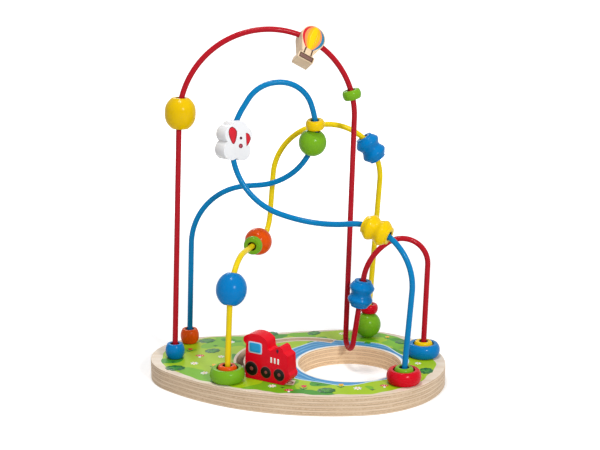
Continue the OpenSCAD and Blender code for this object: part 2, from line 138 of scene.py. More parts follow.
class Term:
    """A number in a shader graph, which takes the signs of arithmetic."""

    def __init__(self, graph: "Graph", socket: Socket) -> None:
        """Keeps the graph and the socket that gives the number."""
        self.graph = graph
        self.socket = socket

    def __add__(self, other: "Value") -> "Term":
        """Sum with a number, term or socket."""
        return self.graph.math("ADD", self, other)

    def __sub__(self, other: "Value") -> "Term":
        """Difference from this term."""
        return self.graph.math("SUBTRACT", self, other)

    def __rsub__(self, other: "Value") -> "Term":
        """Difference from a plain number."""
        return self.graph.math("SUBTRACT", other, self)

    def __mul__(self, other: "Value") -> "Term":
        """Product with a number, term or socket."""
        return self.graph.math("MULTIPLY", self, other)

    def __truediv__(self, other: "Value") -> "Term":
        """Share of a number, term or socket."""
        return self.graph.math("DIVIDE", self, other)

    def __abs__(self) -> "Term":
        """Size without its sign."""
        return self.graph.math("ABSOLUTE", self)

    def step(self, low: float, high: float, to_low: float = 0.0, to_high: float = 1.0) -> "Term":
        """Smooth step between two limits."""
        node = self.graph.add("ShaderNodeMapRange", {0: self, 1: low, 2: high, 3: to_low, 4: to_high},
                              interpolation_type="SMOOTHSTEP")
        return Term(self.graph, node.outputs[0])

    def below(self, limit: float, blend: float = 0.2) -> "Term":
        """One below a limit and nought above it, with a blend to both sides."""
        return 1.0 - self.step(limit - blend, limit + blend)


# What a graph takes as a number, as a vector and as a colour.
Value = float | Term | Socket
Vector = Place | Socket
Tint = Hue | Socket


class Graph:
    """Adds nodes to one shader tree and joins them."""

    def __init__(self, tree: bpy.types.NodeTree) -> None:
        """Keeps the tree to add to."""
        self.tree = tree

    def join(self, node: Node, inputs: dict) -> None:
        """Set a node's inputs.

        Args:
            node: the node.
            inputs: constants, hues, terms or output sockets by input name or index.
        """
        for key, value in inputs.items():
            value = value.linear if isinstance(value, Hue) else value
            value = value.socket if isinstance(value, Term) else value
            if isinstance(value, Socket):
                self.tree.links.new(value, node.inputs[key])
            else:
                node.inputs[key].default_value = value

    def add(self, kind: str, inputs: dict | None = None, **props: object) -> Node:
        """Add a node.

        Args:
            kind: Blender's node type.
            inputs: what its inputs take.
            props: attributes of the node.
        Returns:
            The new node.
        """
        node = self.tree.nodes.new(kind)
        for key, value in props.items():
            setattr(node, key, value)
        self.join(node, inputs or {})
        return node

    def math(self, operation: str, *values: Value) -> Term:
        """Result of a maths node on up to three numbers, terms or sockets."""
        return Term(self, self.add("ShaderNodeMath", dict(enumerate(values)), operation=operation).outputs[0])

    def vector(self, operation: str, first: Vector, second: Vector) -> Socket:
        """Result of a vector maths node on two vectors."""
        return self.add("ShaderNodeVectorMath", {0: first, 1: second}, operation=operation).outputs[0]

    def scaled(self, vector: Vector, factor: Value) -> Socket:
        """A vector or colour times a number."""
        return self.add("ShaderNodeVectorMath", {0: vector, "Scale": factor}, operation="SCALE").outputs[0]

    def split(self, vector: Vector) -> list[Term]:
        """The three parts of a vector."""
        return [Term(self, part) for part in self.add("ShaderNodeSeparateXYZ", {0: vector}).outputs]

    def length(self, x: Term, y: Term) -> Term:
        """Root of the sum of two squares."""
        return self.math("SQRT", x * x + y * y)

    def mix(self, factor: Value, first: Tint, second: Tint) -> Socket:
        """Colour between two colours by a factor, which the node keeps between nought and one."""
        return self.add("ShaderNodeMix", {0: factor, 6: first, 7: second}, data_type="RGBA").outputs[2]

    def place(self) -> Socket:
        """Object coordinates in metres."""
        return self.add("ShaderNodeTexCoord").outputs["Object"]

    def mapped(self, vector: Vector, **changes: Place) -> Socket:
        """A vector through a Mapping node, with its Scale, Rotation or Location."""
        return self.add("ShaderNodeMapping", {"Vector": vector, **changes}).outputs[0]

    def noise(self, vector: Vector, scale: float | Place, detail: float, rough: float = 0.5,
              turn: Place = (0.0, 0.0, 0.0)) -> Term:
        """Noise value at a vector.

        Args:
            vector: where.
            scale: one scale, or one for each axis, which gives streaks.
            detail, rough: octaves and their weight.
            turn: rotation of the streaks.
        Returns:
            The value.
        """
        if isinstance(scale, tuple):
            vector, scale = self.mapped(vector, Scale=scale, Rotation=turn), 1.0
        inputs = {"Vector": vector, "Scale": scale, "Detail": detail, "Roughness": rough}
        return Term(self, self.add("ShaderNodeTexNoise", inputs).outputs[0])

    def waves(self, turn: Term, mean: float, rows: tuple[Place, ...]) -> Term:
        """A mean plus sine waves round a turn.

        Args:
            turn: angle in radians.
            mean: value without waves.
            rows: height, count and phase of each wave.
        Returns:
            The mean plus each height times the sine of its count times the turn plus its phase.
        """
        for height, count, phase in rows:
            mean = self.math("SINE", turn * count + phase) * height + mean
        return mean


@dataclass
class Effect:
    """A shader node group that gives a colour, a roughness and a height, built once."""

    name: str
    inputs: tuple[str, ...]
    build: Callable[[Graph, Sockets], tuple]
    outputs: ClassVar[tuple[str, ...]] = ("Color", "Roughness", "Height")
    made: ClassVar[dict[str, bpy.types.NodeTree]] = {}

    def tree(self) -> bpy.types.NodeTree:
        """The node group."""
        if self.name not in Effect.made:
            tree = bpy.data.node_groups.new(self.name, "ShaderNodeTree")
            for way, keys in (("INPUT", self.inputs), ("OUTPUT", self.outputs)):
                for key in keys:
                    kind = "NodeSocketColor" if key.endswith("Color") else "NodeSocketFloat"
                    tree.interface.new_socket(name=key, in_out=way, socket_type=kind)
            graph = Graph(tree)
            results = self.build(graph, graph.add("NodeGroupInput").outputs)
            graph.add("NodeGroupOutput", dict(zip(self.outputs, results)))
            Effect.made[self.name] = tree
        return Effect.made[self.name]

    def place(self, graph: Graph, values: dict[str, object]) -> tuple[Socket, Term, Term]:
        """Put the group into a material's graph.

        Args:
            graph: the material's graph.
            values: what the group's inputs take.
        Returns:
            Colour, roughness and height.
        """
        color, rough, height = graph.add("ShaderNodeGroup", values, node_tree=self.tree()).outputs
        return color, Term(graph, rough), Term(graph, height)


def lacquer_skin(graph: Graph, entry: Sockets) -> tuple:
    """Sprayed lacquer over turned wood: faint grain, pooled colour and fine orange peel."""
    place = graph.place()
    grain = graph.noise(place, (900, 900, 120), 4.0, 0.6, (0.3, 0.2, 0.0))
    cloud = graph.noise(place, 70.0, 2.0)
    peel = graph.noise(place, 1400.0, 1.0)
    shade = (grain - 0.5) * entry["Grain"] + cloud * 0.08 + 0.96
    rough = cloud * 0.12 + grain * 0.06 + 0.16
    return graph.scaled(entry["Color"], shade), rough, peel * 0.35 + grain * 0.65


def wood_grain(graph: Graph, entry: Sockets) -> tuple:
    """Sanded pale wood: long fibres along the X axis, growth bands and short dark flecks."""
    place = graph.place()
    warp = graph.noise(place, (6, 20, 20), 2.0) * 9.0
    bent = graph.vector("ADD", graph.mapped(place, Scale=(9, 160, 160)),
                        graph.add("ShaderNodeCombineXYZ", {1: warp}).outputs[0])
    bands = graph.noise(bent, 1.0, 4.0, 0.62)
    fibre = graph.noise(place, (60, 1900, 1900), 3.0, 0.7)
    fleck = graph.noise(place, (160, 1500, 1500), 1.0).step(0.68, 0.80)
    color = graph.mix(fibre * 0.45 + bands * 1.5 - 0.55, entry["Pale Color"], entry["Dark Color"])
    color = graph.mix(fleck * 0.35, color, entry["Dark Color"])
    return color, fibre * 0.18 + 0.42, fibre - fleck


def ink_film(graph: Graph, entry: Sockets) -> tuple:
    """Printed ink on wood: uneven cover, fine screen dots and the fibres below."""
    place = graph.place()
    fibre = graph.noise(place, (80, 1500, 900), 3.0, 0.6)
    cloud = graph.noise(place, 160.0, 2.0)
    speck = graph.noise(place, 2600.0, 0.0)
    shade = fibre * 0.14 + cloud * 0.14 + speck * 0.06 + 0.83
    return graph.scaled(entry["Color"], shade), fibre * 0.16 + 0.26, speck * 0.4 + fibre


LACQUER_SKIN = Effect("lacquer_skin", ("Color", "Grain"), lacquer_skin)
WOOD_GRAIN = Effect("wood_grain", ("Pale Color", "Dark Color"), wood_grain)
INK_FILM = Effect("ink_film", ("Color",), ink_film)


def new_shader(name: str) -> tuple[bpy.types.Material, Graph, Node]:
    """New material with its graph and Principled node."""
    material = bpy.data.materials.new(name)
    material.use_nodes = True
    principled = next(n for n in material.node_tree.nodes if n.type == "BSDF_PRINCIPLED")
    return material, Graph(material.node_tree), principled


class Finish:
    """Base of the finishes: makes a material once, paints its shader and sets its coat."""

    title: str
    depth: float
    strength: ClassVar[float] = 0.6
    coat: ClassVar[dict[str, float]] = {}
    made: ClassVar[dict[str, bpy.types.Material]] = {}

    def paint(self, graph: Graph, shader: Node) -> None:
        """Join what varies over the surface to the shader; each finish has its own."""

    def wear(self, graph: Graph, shader: Node, color: Socket, rough: Term, height: Term) -> None:
        """Join a colour, a roughness and a height, as a bump, to the shader."""
        bump = {"Strength": self.strength, "Distance": self.depth, "Height": height}
        graph.join(shader, {"Base Color": color, "Roughness": rough,
                            "Normal": graph.add("ShaderNodeBump", bump).outputs[0]})

    def material(self) -> bpy.types.Material:
        """The finish's material."""
        if self.title not in Finish.made:
            material, graph, shader = new_shader(self.title)
            self.paint(graph, shader)
            graph.join(shader, self.coat)
            Finish.made[self.title] = material
        return Finish.made[self.title]


@dataclass(frozen=True)
class Lacquer(Finish):
    """Glossy coloured lacquer on wood or on wire, which leaves a bead's bore as bare wood darkened by painted
    shade.
    """

    hue: Hue
    grain: float = 0.10
    depth: float = 0.00004
    coat: ClassVar[dict[str, float]] = {"Specular IOR Level": 0.05, "Coat Weight": 0.1, "Coat Roughness": 0.12}

    @property
    def title(self) -> str:
        """Name of the material."""
        return "lacquer_" + self.hue.name.lower()

    def paint(self, graph: Graph, shader: Node) -> None:
        """Skin outside, and bare wood darkened by painted shade where the mesh says bore."""
        color, rough, height = LACQUER_SKIN.place(graph, {"Color": self.hue, "Grain": self.grain})
        # painted shade: the bore attribute darkens the bare wood inside the bore
        inside = graph.add("ShaderNodeAttribute", attribute_name="bore").outputs["Fac"]
        self.wear(graph, shader, graph.mix(inside, color, Hue.BORE), rough, height)


@dataclass(frozen=True)
class Ink(Finish):
    """Printed colour under clear varnish."""

    hue: Hue
    depth: float = 0.00002
    coat: ClassVar[dict[str, float]] = {"Specular IOR Level": 0.15, "Coat Weight": 0.1, "Coat Roughness": 0.15}

    @property
    def title(self) -> str:
        """Name of the material."""
        return "print_" + self.hue.name.lower()

    def paint(self, graph: Graph, shader: Node) -> None:
        """Film of one colour."""
        self.wear(graph, shader, *INK_FILM.place(graph, {"Color": self.hue}))


@dataclass(frozen=True)
class BareWood(Finish):
    """Sanded natural wood with a thin clear coat."""

    title: str
    pale: Hue
    dark: Hue
    depth: float = 0.00006
    coat: ClassVar[dict[str, float]] = {"Coat Weight": 0.15, "Coat Roughness": 0.3}

    def paint(self, graph: Graph, shader: Node) -> None:
        """Grain between two tones."""
        tones = {"Pale Color": self.pale, "Dark Color": self.dark}
        self.wear(graph, shader, *WOOD_GRAIN.place(graph, tones))


@dataclass(frozen=True)
class Steel(Finish):
    """Zinc-plated steel of the guide sleeves and screws."""

    title: str = "plated_steel"
    depth: float = 0.00003
    strength: ClassVar[float] = 0.4
    coat: ClassVar[dict[str, float]] = {"Metallic": 1.0}

    def paint(self, graph: Graph, shader: Node) -> None:
        """Turned marks and dull patches."""
        place = graph.place()
        marks = graph.noise(place, (300, 300, 6000), 2.0)
        dull = graph.noise(place, 500.0, 2.0)
        color = graph.mix(dull, Hue.ZINC_DULL, Hue.ZINC)
        self.wear(graph, shader, color, marks * 0.15 + dull * 0.12 + 0.2, marks)


def quads(rows: int, columns: int, wrap_rows: bool = False, wrap_columns: bool = False) -> Array:
    """Quads of a grid of points, row by row.

    Args:
        rows, columns: size of the grid.
        wrap_rows, wrap_columns: whether the last row or column joins the first.
    Returns:
        Corner numbers, one quad per line.
    """
    r = np.arange(rows if wrap_rows else rows - 1)[:, None]
    c = np.arange(columns if wrap_columns else columns - 1)[None, :]
    r1, c1 = (r + 1) % rows, (c + 1) % columns
    corners = [r * columns + c, r * columns + c1, r1 * columns + c1, r1 * columns + c]
    return np.stack([np.broadcast_to(k, (r.shape[0], c.shape[1])) for k in corners], axis=-1).reshape(-1, 4)


def fan(rim: Array, tip: int) -> Array:
    """Triangles from each side of a closed rim to one point, with the point repeated."""
    return np.stack([rim, np.roll(rim, -1), np.full_like(rim, tip), np.full_like(rim, tip)], axis=1)


def flipped(faces: Array) -> Array:
    """Faces turned round, with a triangle's repeated corner kept last."""
    return faces[:, [1, 0, 3, 2]]


def unit(v: Array) -> Array:
    """Vectors of length one."""
    return v / np.linalg.norm(v, axis=-1, keepdims=True)


def run_of(points: Array) -> Array:
    """Distance of each point from the first, along a polyline."""
    return np.concatenate([[0.0], np.cumsum(np.linalg.norm(np.diff(points, axis=0), axis=1))])


def at_runs(points: Array, runs: Array) -> Array:
    """Points at given distances along a polyline."""
    own = run_of(points)
    return np.stack([np.interp(runs, own, points[:, k]) for k in range(points.shape[1])], axis=1)


def even_loop(points: Array, count: int) -> Array:
    """Points at equal distances round a closed polyline."""
    closed = np.vstack([points, points[:1]])
    return at_runs(closed, np.linspace(0.0, run_of(closed)[-1], count, endpoint=False))


def softened(loop: Array, reach: float) -> Array:
    """A closed loop with its corners rounded: each point is averaged with its neighbours by a bell curve.

    Args:
        loop: evenly spaced points.
        reach: width of the bell curve, in the points' unit.
    Returns:
        The rounded loop.
    """
    step = np.linalg.norm(loop[1] - loop[0])
    offset = np.fft.fftfreq(len(loop)) * len(loop) * step
    bell = np.exp(-0.5 * (offset / reach) ** 2)
    bell = np.fft.fft(bell / bell.sum())[:, None]
    return np.real(np.fft.ifft(np.fft.fft(loop, axis=0) * bell, axis=0))


def lathe(profile: Array, segments: int = 72) -> Mesh:
    """Closed profile of radius and height turned about the z axis.

    Args:
        profile: radius and height, counter-clockwise with the radius to the right.
        segments: steps of the turn.
    Returns:
        Points and quads.
    """
    turn = np.linspace(0.0, 2.0 * np.pi, segments, endpoint=False)[:, None]
    x = profile[None, :, 0] * np.cos(turn)
    y = profile[None, :, 0] * np.sin(turn)
    z = np.broadcast_to(profile[None, :, 1], x.shape)
    return np.stack([x, y, z], axis=-1).reshape(-1, 3), flipped(quads(segments, len(profile), True, True))


def tube(path: Array, radius: float, sides: int = 24, tries: int = 200) -> Mesh:
    """Round section carried along a path, with closed ends.

    The section's first axis is one fixed direction made square to the path. It is chosen, from directions
    spread evenly over a sphere, as the one that stays furthest from the path's own, so the section never flips.

    Args:
        path: points along the path.
        radius: radius of the section.
        sides: sides of the section.
        tries: directions to choose from.
    Returns:
        Points and faces, with a point at the middle of each end.
    """
    along = unit(np.gradient(path, axis=0))
    k = np.arange(tries) + 0.5
    lift = np.arccos(1 - 2 * k / tries)
    swing = np.pi * (1 + 5 ** 0.5) * k
    spread = np.stack([np.cos(swing) * np.sin(lift), np.sin(swing) * np.sin(lift), np.cos(lift)], axis=1)
    best = spread[np.argmin(np.abs(spread @ along.T).max(axis=1))]
    first = unit(best - (along @ best)[:, None] * along)
    second = np.cross(along, first)
    turn = np.linspace(0.0, 2.0 * np.pi, sides, endpoint=False)
    ring = np.cos(turn)[None, :, None] * first[:, None] + np.sin(turn)[None, :, None] * second[:, None]
    points = np.vstack([(path[:, None] + radius * ring).reshape(-1, 3), path[0], path[-1]])
    rim = np.arange(sides)
    ends = len(path) * sides
    return points, np.vstack([quads(len(path), sides, False, True), flipped(fan(rim, ends)),
                              fan(rim + ends - sides, ends + 1)])


def place_on(points: Array, origin: Array, right: Array, up: Array) -> Array:
    """Points given as right, up and out, put on a plane in the object's frame."""
    out = np.cross(right, up)
    return origin + points[:, :1] * right + points[:, 1:2] * up + points[:, 2:3] * out


def blot(outline: Array, rise: float, sink: float = 0.03) -> Mesh:
    """Thin closed film with a star-shaped outline: rings shrink to a middle point and the rim dips in.

    Args:
        outline: rim points, counter-clockwise.
        rise: height of the film.
        sink: depth of its lower side.
    Returns:
        Points as right, up and out, and faces.
    """
    n = len(outline)
    middle = outline.mean(axis=0)
    shares = np.array([1.0, 0.985, 0.6])
    heights = np.array([-sink, rise, rise])
    rings = middle + shares[:, None, None] * (outline - middle)[None]
    level = np.broadcast_to(heights[:, None, None], rings.shape[:2] + (1,))
    points = np.concatenate([rings, level], axis=2).reshape(-1, 3)
    points = np.vstack([points, [*middle, rise], [*middle, -sink]])
    rim = np.arange(n)
    return points, np.vstack([quads(3, n, False, True), fan(2 * n + rim, 3 * n), flipped(fan(rim, 3 * n + 1))])


def patch(sheet: Array, rise: float, sink: float = 0.03) -> Mesh:
    """Thin closed film over a grid of places: an upper and a lower grid joined along their rims.

    Args:
        sheet: places on the plane, rows by columns by two.
        rise: height of the upper grid.
        sink: depth of the lower grid.
    Returns:
        Points as right, up and out, and faces.
    """
    rows, columns = sheet.shape[:2]
    flat = sheet.reshape(-1, 2)
    count = rows * columns
    upper = np.concatenate([flat, np.full((count, 1), rise)], axis=1)
    lower = np.concatenate([flat, np.full((count, 1), -sink)], axis=1)
    face = quads(rows, columns)
    number = np.arange(count).reshape(rows, columns)
    rim = np.concatenate([number[0, :-1], number[:-1, -1], number[-1, :0:-1], number[:0:-1, 0]])
    after = np.roll(rim, -1)
    walls = np.stack([after, rim, rim + count, after + count], axis=1)
    return np.vstack([upper, lower]), np.vstack([face, flipped(face) + count, walls])


def ribbon(path: Array, width: float, rise: float) -> Mesh:
    """Film of even width along a line: the line's points moved to both sides of it."""
    along = unit(np.gradient(path, axis=0))
    side = np.stack([along[:, 1], -along[:, 0]], axis=1)
    return patch(np.stack([path - side * width / 2, path + side * width / 2], axis=1), rise)


def ellipse(centre: tuple[float, float], wide: float, high: float, lean: float = 0.0, count: int = 48,
            lobes: int = 0, wave: float = 0.0, point: float = 0.0) -> Array:
    """Oval outline, with lobes round it or drawn to a point below.

    Args:
        centre: its middle.
        wide, high: half sizes.
        lean: turn in degrees.
        count: points.
        lobes, wave: number of lobes and their height as a share of the radius.
        point: how far the lower half narrows, as a share.
    Returns:
        Rim points, counter-clockwise.
    """
    turn = np.linspace(0.0, 2.0 * np.pi, count, endpoint=False)
    swell = 1.0 + wave * np.abs(np.sin(lobes * turn / 2))
    y = np.sin(turn)
    x = np.cos(turn) * (1.0 + point * np.minimum(y, 0.0))
    p = np.stack([x * wide * swell, y * high * swell], axis=1)
    a = np.radians(lean)
    return p @ np.array([[np.cos(a), np.sin(a)], [-np.sin(a), np.cos(a)]]) + np.array(centre)


def box_outline(centre: tuple[float, float], wide: float, high: float, corner: float) -> Array:
    """Outline of a rectangle with rounded corners, as an evenly spaced loop."""
    w, h = wide / 2, high / 2
    loop = even_loop(np.array([[w, -h], [w, h], [-w, h], [-w, -h]]), 64)
    return softened(loop, corner) + np.array(centre)


def new_object(name: str, data: bpy.types.ID) -> bpy.types.Object:
    """Put a mesh, lamp or camera into the scene."""
    thing = bpy.data.objects.new(name, data)
    bpy.context.scene.collection.objects.link(thing)
    return thing


def add_piece(name: str, points: Array, faces: Array, finish: Finish, body: str) -> bpy.types.Object:
    """Make a piece of the object and let it ride on a body.

    Args:
        name: the piece's name.
        points: places in millimetres.
        faces: corner numbers; a quad that repeats its last corner is a triangle.
        finish: what gives its material.
        body: the body that it rides on.
    Returns:
        The new object.
    """
    mesh = bpy.data.meshes.new(name)
    triangle = faces[:, 2] == faces[:, 3]
    rows = faces[~triangle].tolist() + faces[triangle][:, :3].tolist()
    mesh.from_pydata((points * MM).tolist(), [], rows)
    mesh.polygons.foreach_set("use_smooth", np.full(len(mesh.polygons), True))
    mesh.materials.append(finish.material())
    mesh.update()
    piece = new_object(name, mesh)
    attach(piece, body)
    LOG.info("%s: %d faces on %s", name, len(mesh.polygons), body)
    return piece


def dress(node: bpy.types.Object, finish: Finish, edge: float, flat_turn: float = 0.4,
          sharp_turn: float = 40.0) -> None:
    """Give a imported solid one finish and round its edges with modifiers: weld, clear flat faces, bevel.

    Args:
        node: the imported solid's object.
        finish: what gives its material.
        edge: width of the bevel in millimetres.
        flat_turn: most degrees between faces that become one.
        sharp_turn: least degrees at an edge that is rounded.
    """
    node.data.materials.clear()
    node.data.materials.append(finish.material())
    weld = node.modifiers.new("weld", "WELD")
    weld.merge_threshold = 1e-6
    flat = node.modifiers.new("flat", "DECIMATE")
    flat.decimate_type = "DISSOLVE"
    flat.angle_limit = np.radians(flat_turn)
    bevel = node.modifiers.new("edge", "BEVEL")
    bevel.width = edge * MM
    bevel.segments = 3
    bevel.limit_method = "ANGLE"
    bevel.angle_limit = np.radians(sharp_turn)
    bevel.harden_normals = True
    LOG.info("%s: finish %s", node.name, finish.title)


@dataclass
class WireRun:
    """A coated wire: straight legs between corners, with a round bend at each inner corner."""

    color: str
    corners: list[Place]
    bends: list[float]
    radius: float = 2.8
    socket: float = 14.0
    bend_pitch: float = 2.5
    leg_pitch: float = 6.0
    least: float = 0.2

    def path(self) -> Array:
        """Points along the wire: each bend is an arc between its two legs.

        Returns:
            Points in millimetres, from the first socket to the last.
        """
        p = np.array(self.corners)
        legs = unit(np.diff(p, axis=0))
        rows = [p[0] - legs[0] * self.socket]
        for i, radius in enumerate(self.bends, start=1):
            before, after = legs[i - 1], legs[i]
            turn = np.arccos(np.clip(before @ after, -1, 1))
            start = p[i] - before * radius * np.tan(turn / 2)
            out = -unit(after - before * (before @ after))
            steps = np.linspace(0.0, turn, max(int(radius * turn / self.bend_pitch), 6))[:, None]
            rows.append(start - out * radius + radius * (out * np.cos(steps) + before * np.sin(steps)))
        rows.append(p[-1] + legs[-1] * self.socket)
        path = np.vstack(rows)
        path = path[np.diff(run_of(path), prepend=-self.least) > self.least / 4]
        run = run_of(path)
        runs = np.unique(np.concatenate([run, np.arange(0.0, run[-1], self.leg_pitch)]))
        return at_runs(path, runs[np.diff(runs, prepend=-1.0) > self.least])

    def build(self) -> None:
        """Make the wire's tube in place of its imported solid."""
        points, faces = tube(self.path(), self.radius)
        finish = Lacquer(Hue["WIRE_" + self.color.upper()], grain=0.05, depth=0.00002)
        piece = add_piece(self.color + "_wire_coat", points, faces, finish, "frame")
        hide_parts(self.color + "_wire")


WIRES = [
    WireRun("red", [
        (-125.25, 9.7583, 20.0), (-112.5, 12.0613, 352.0), (60.0, 43.2198, 352.0), (50.25, 41.4586, 23.32),
        (56.25, 20.1022, 23.32), (70.5, 19.0971, 123.584), (133.5, 17.0869, 171.06), (129.0, 15.0767, 20.0)],
        [87.983, 87.983, 9.7327, 10.237, 55.3695, 26.1672]),
    WireRun("blue", [
        (-114.0, 57.2913, 20.0), (-108.0, 57.2913, 185.668), (36.45, 32.1635, 200.276), (6.75, 18.092, 303.528),
        (-38.4, 8.0409, 300.872), (-99.9, -4.0204, 203.264), (17.4, -14.0716, 164.42),
        (115.05, -60.3067, 181.684), (102.75, -63.0205, 20.0)],
        [65.7953, 65.9998, 34.3486, 34.5369, 70.2418, 107.444, 56.5511]),
    WireRun("yellow", [
        (-68.2312, -57.5844, 20.0), (-63.0, -54.276, 138.524), (-30.0, 70.8739, 135.536),
        (-21.0, 71.3629, 250.408), (90.0, 77.3935, 250.408), (74.25, 76.5378, 20.0)],
        [41.8119, 21.9147, 55.7098, 55.7098]),
]


class Turning(Enum):
    """Kinds of turned bead: diameter, length and diameter of the ends."""

    BALL = (28.0, 26.4, 9.33)
    BARREL = (30.5, 30.5, 16.0)
    OVAL = (30.0, 31.5, 11.0)
    RING = (19.0, 9.5, 16.0)
    STOP = (19.5, 15.0, 15.0)
    CUP = (34.0, 13.5, 28.5)
    RIDGED = (25.5, 28.0, 17.5)


@dataclass
class TurnedBead:
    """A bead turned about its bore and lacquered."""

    name: str
    turning: Turning
    hue: Hue
    centre: Place
    axis: Place
    bore: float
    mouth: float = 1.0
    recess_depth: float = 7.5
    recess_radius: float = 10.7
    waist: float = 20.5
    ridge: float = 10.0
    ridge_pitch: float = 13.75
    crest_in: float = 1.3
    crest_out: float = 0.5
    flank_drop: float = 1.2
    rounding: float = 0.45
    fullness: float = 2.7
    bare_share: float = 0.4
    aside: ClassVar[Place] = (0.31, 0.95, 0.05)
    side_steps: ClassVar[int] = 61
    loop_steps: ClassVar[int] = 600
    thin_by: ClassVar[int] = 4

    def side(self) -> Array:
        """Outer side from the lower to the upper end, as radius and height.

        An oval is an ellipse cut at its ends, a barrel's radius falls by a power of the height, and the
        others are one arc. A ridged bead has a waist between two ridges and a collar at each end.
        """
        d, l, end = self.turning.value
        z = np.linspace(-l / 2, l / 2, self.side_steps)
        if self.turning is Turning.OVAL:
            r = d / 2 * np.sqrt(1 - z ** 2 / (l / 2) ** 2 * (1 - (end / d) ** 2))
        elif self.turning is Turning.BARREL:
            r = d / 2 - (d - end) / 2 * np.abs(2 * z / l) ** self.fullness
        elif self.turning is Turning.RIDGED:
            crest = self.ridge_pitch / 2
            flank = crest + self.ridge / 2
            away = np.array([0.0, 1.0, crest - self.crest_in, crest + self.crest_out, flank, flank, l / 2])
            half = np.array([self.waist, self.waist, d, d, self.waist - self.flank_drop, end, end]) / 2
            z = np.concatenate([-away[::-1], away[1:]])
            r = np.concatenate([half[::-1], half[1:]])
        else:
            rise = (d - end) / 2
            bow = (l ** 2 / 4 + rise ** 2) / (2 * rise)
            r = d / 2 - bow + np.sqrt(bow ** 2 - z ** 2)
        return np.stack([r, z], axis=1)

    def profile(self) -> Array:
        """Closed half section: side, upper end with its recess, bore with bevelled mouths, lower end."""
        b, m, top = self.bore, self.mouth, self.turning.value[1] / 2
        upper = [(b + m, top), (b, top - m)]
        if self.turning is Turning.CUP:
            floor = top - self.recess_depth
            upper = [(self.recess_radius, top), (self.recess_radius, floor), (b, floor)]
        lower = [(b, m - top), (b + m, -top)]
        loop = even_loop(np.vstack([self.side(), upper, lower]), self.loop_steps)
        return softened(loop, self.rounding)[::self.thin_by]

    def build(self) -> None:
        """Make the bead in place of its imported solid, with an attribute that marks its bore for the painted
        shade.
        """
        profile = self.profile()
        points, faces = lathe(profile)
        z = unit(np.array(self.axis))
        x = unit(np.cross(np.array(self.aside), z))
        points = place_on(points, np.array(self.centre), x, np.cross(z, x))
        slot = self.name.split("_")[0] + "_lacquer"
        piece = add_piece(self.name + "_turned", points, faces, Lacquer(self.hue), self.name)
        # painted shade: how far into the bore's mouth the dark bore colour reaches
        inside = np.clip((self.bore + self.mouth - profile[:, 0]) / (self.bare_share * self.mouth), 0.0, 1.0)
        bare = piece.data.attributes.new("bore", "FLOAT", "POINT")
        bare.data.foreach_set("value", np.tile(inside, len(points) // len(profile)).astype(np.float32))
        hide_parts(self.name)


UP = (0.0, 0.0, 1.0)
BEADS = [TurnedBead(*row) for row in (
    ("blue_stop_bead", Turning.STOP, Hue.BLUE, (-124.95, 9.812, 27.8), UP, 3.99),
    ("yellow_barrel_bead", Turning.BARREL, Hue.YELLOW_DEEP, (-114.473, 11.506, 271.86),
     (0.03837, 0.00693, 0.99924), 4.2),
    ("green_arch_ring", Turning.RING, Hue.GREEN, (54.563, 42.238, 285.907), (0.24502, 0.04426, -0.96851), 3.7),
    ("blue_low_ridged_bead", Turning.RIDGED, Hue.BLUE, (65.059, 19.481, 85.301), (0.1407, -0.00992, 0.99), 3.7),
    ("blue_cup_bead", Turning.CUP, Hue.BLUE, (129.24, 15.184, 27.05), UP, 3.96),
    ("yellow_cup_ring", Turning.RING, Hue.YELLOW, (129.24, 15.184, 31.35), UP, 3.96),
    ("orange_stop_bead", Turning.STOP, Hue.ORANGE, (-113.718, 57.291, 27.8), UP, 3.97),
    ("green_loop_ball", Turning.BALL, Hue.GREEN, (15.284, 28.304, 239.79), (0.24276, -0.20929, 0.94724), 3.77),
    ("yellow_loop_ring", Turning.RING, Hue.YELLOW, (17.767, 24.529, 258.506), (-0.04565, -0.17109, 0.9842), 3.7),
    ("yellow_ridged_bead", Turning.RIDGED, Hue.YELLOW, (76.465, -42.442, 167.31),
     (0.84394, -0.42509, -0.32721), 3.98),
    ("red_cup_bead", Turning.CUP, Hue.RED, (103.362, -62.885, 27.05), UP, 4.33),
    ("green_cup_ring", Turning.RING, Hue.GREEN, (103.362, -62.885, 31.35), UP, 4.33),
    ("green_cup_bead", Turning.CUP, Hue.GREEN, (-67.876, -57.36, 27.05), UP, 4.12),
    ("orange_cup_ring", Turning.RING, Hue.ORANGE, (-67.876, -57.36, 31.35), UP, 4.12),
    ("blue_oval_bead", Turning.OVAL, Hue.BLUE, (-63.218, -51.258, 110.861), (0.12755, 0.35338, 0.92674), 4.64),
    ("green_run_ring", Turning.RING, Hue.GREEN, (-44.463, 16.023, 136.846), (0.2549, 0.96669, -0.02308), 3.7),
    ("orange_run_ball", Turning.BALL, Hue.ORANGE, (-39.811, 33.665, 136.424), (0.2549, 0.96669, -0.02308), 3.7),
    ("blue_high_ridged_bead", Turning.RIDGED, Hue.BLUE, (75.997, 76.633, 225.073),
     (0.55331, 0.03006, -0.83244), 3.99),
    ("green_foot_ball", Turning.BALL, Hue.GREEN, (75.192, 76.589, 33.787), (-0.0682, -0.00371, -0.99766), 3.7),
    ("red_foot_ring", Turning.RING, Hue.RED, (76.437, 76.657, 51.994), (-0.0682, -0.00371, -0.99766), 3.7),
)]


class Layer(Enum):
    """Heights of films over the lowest ones."""

    GROUND = 0.0
    PETAL = 0.02
    OVER = 0.03
    SPOT = 0.05
    HUB = 0.06


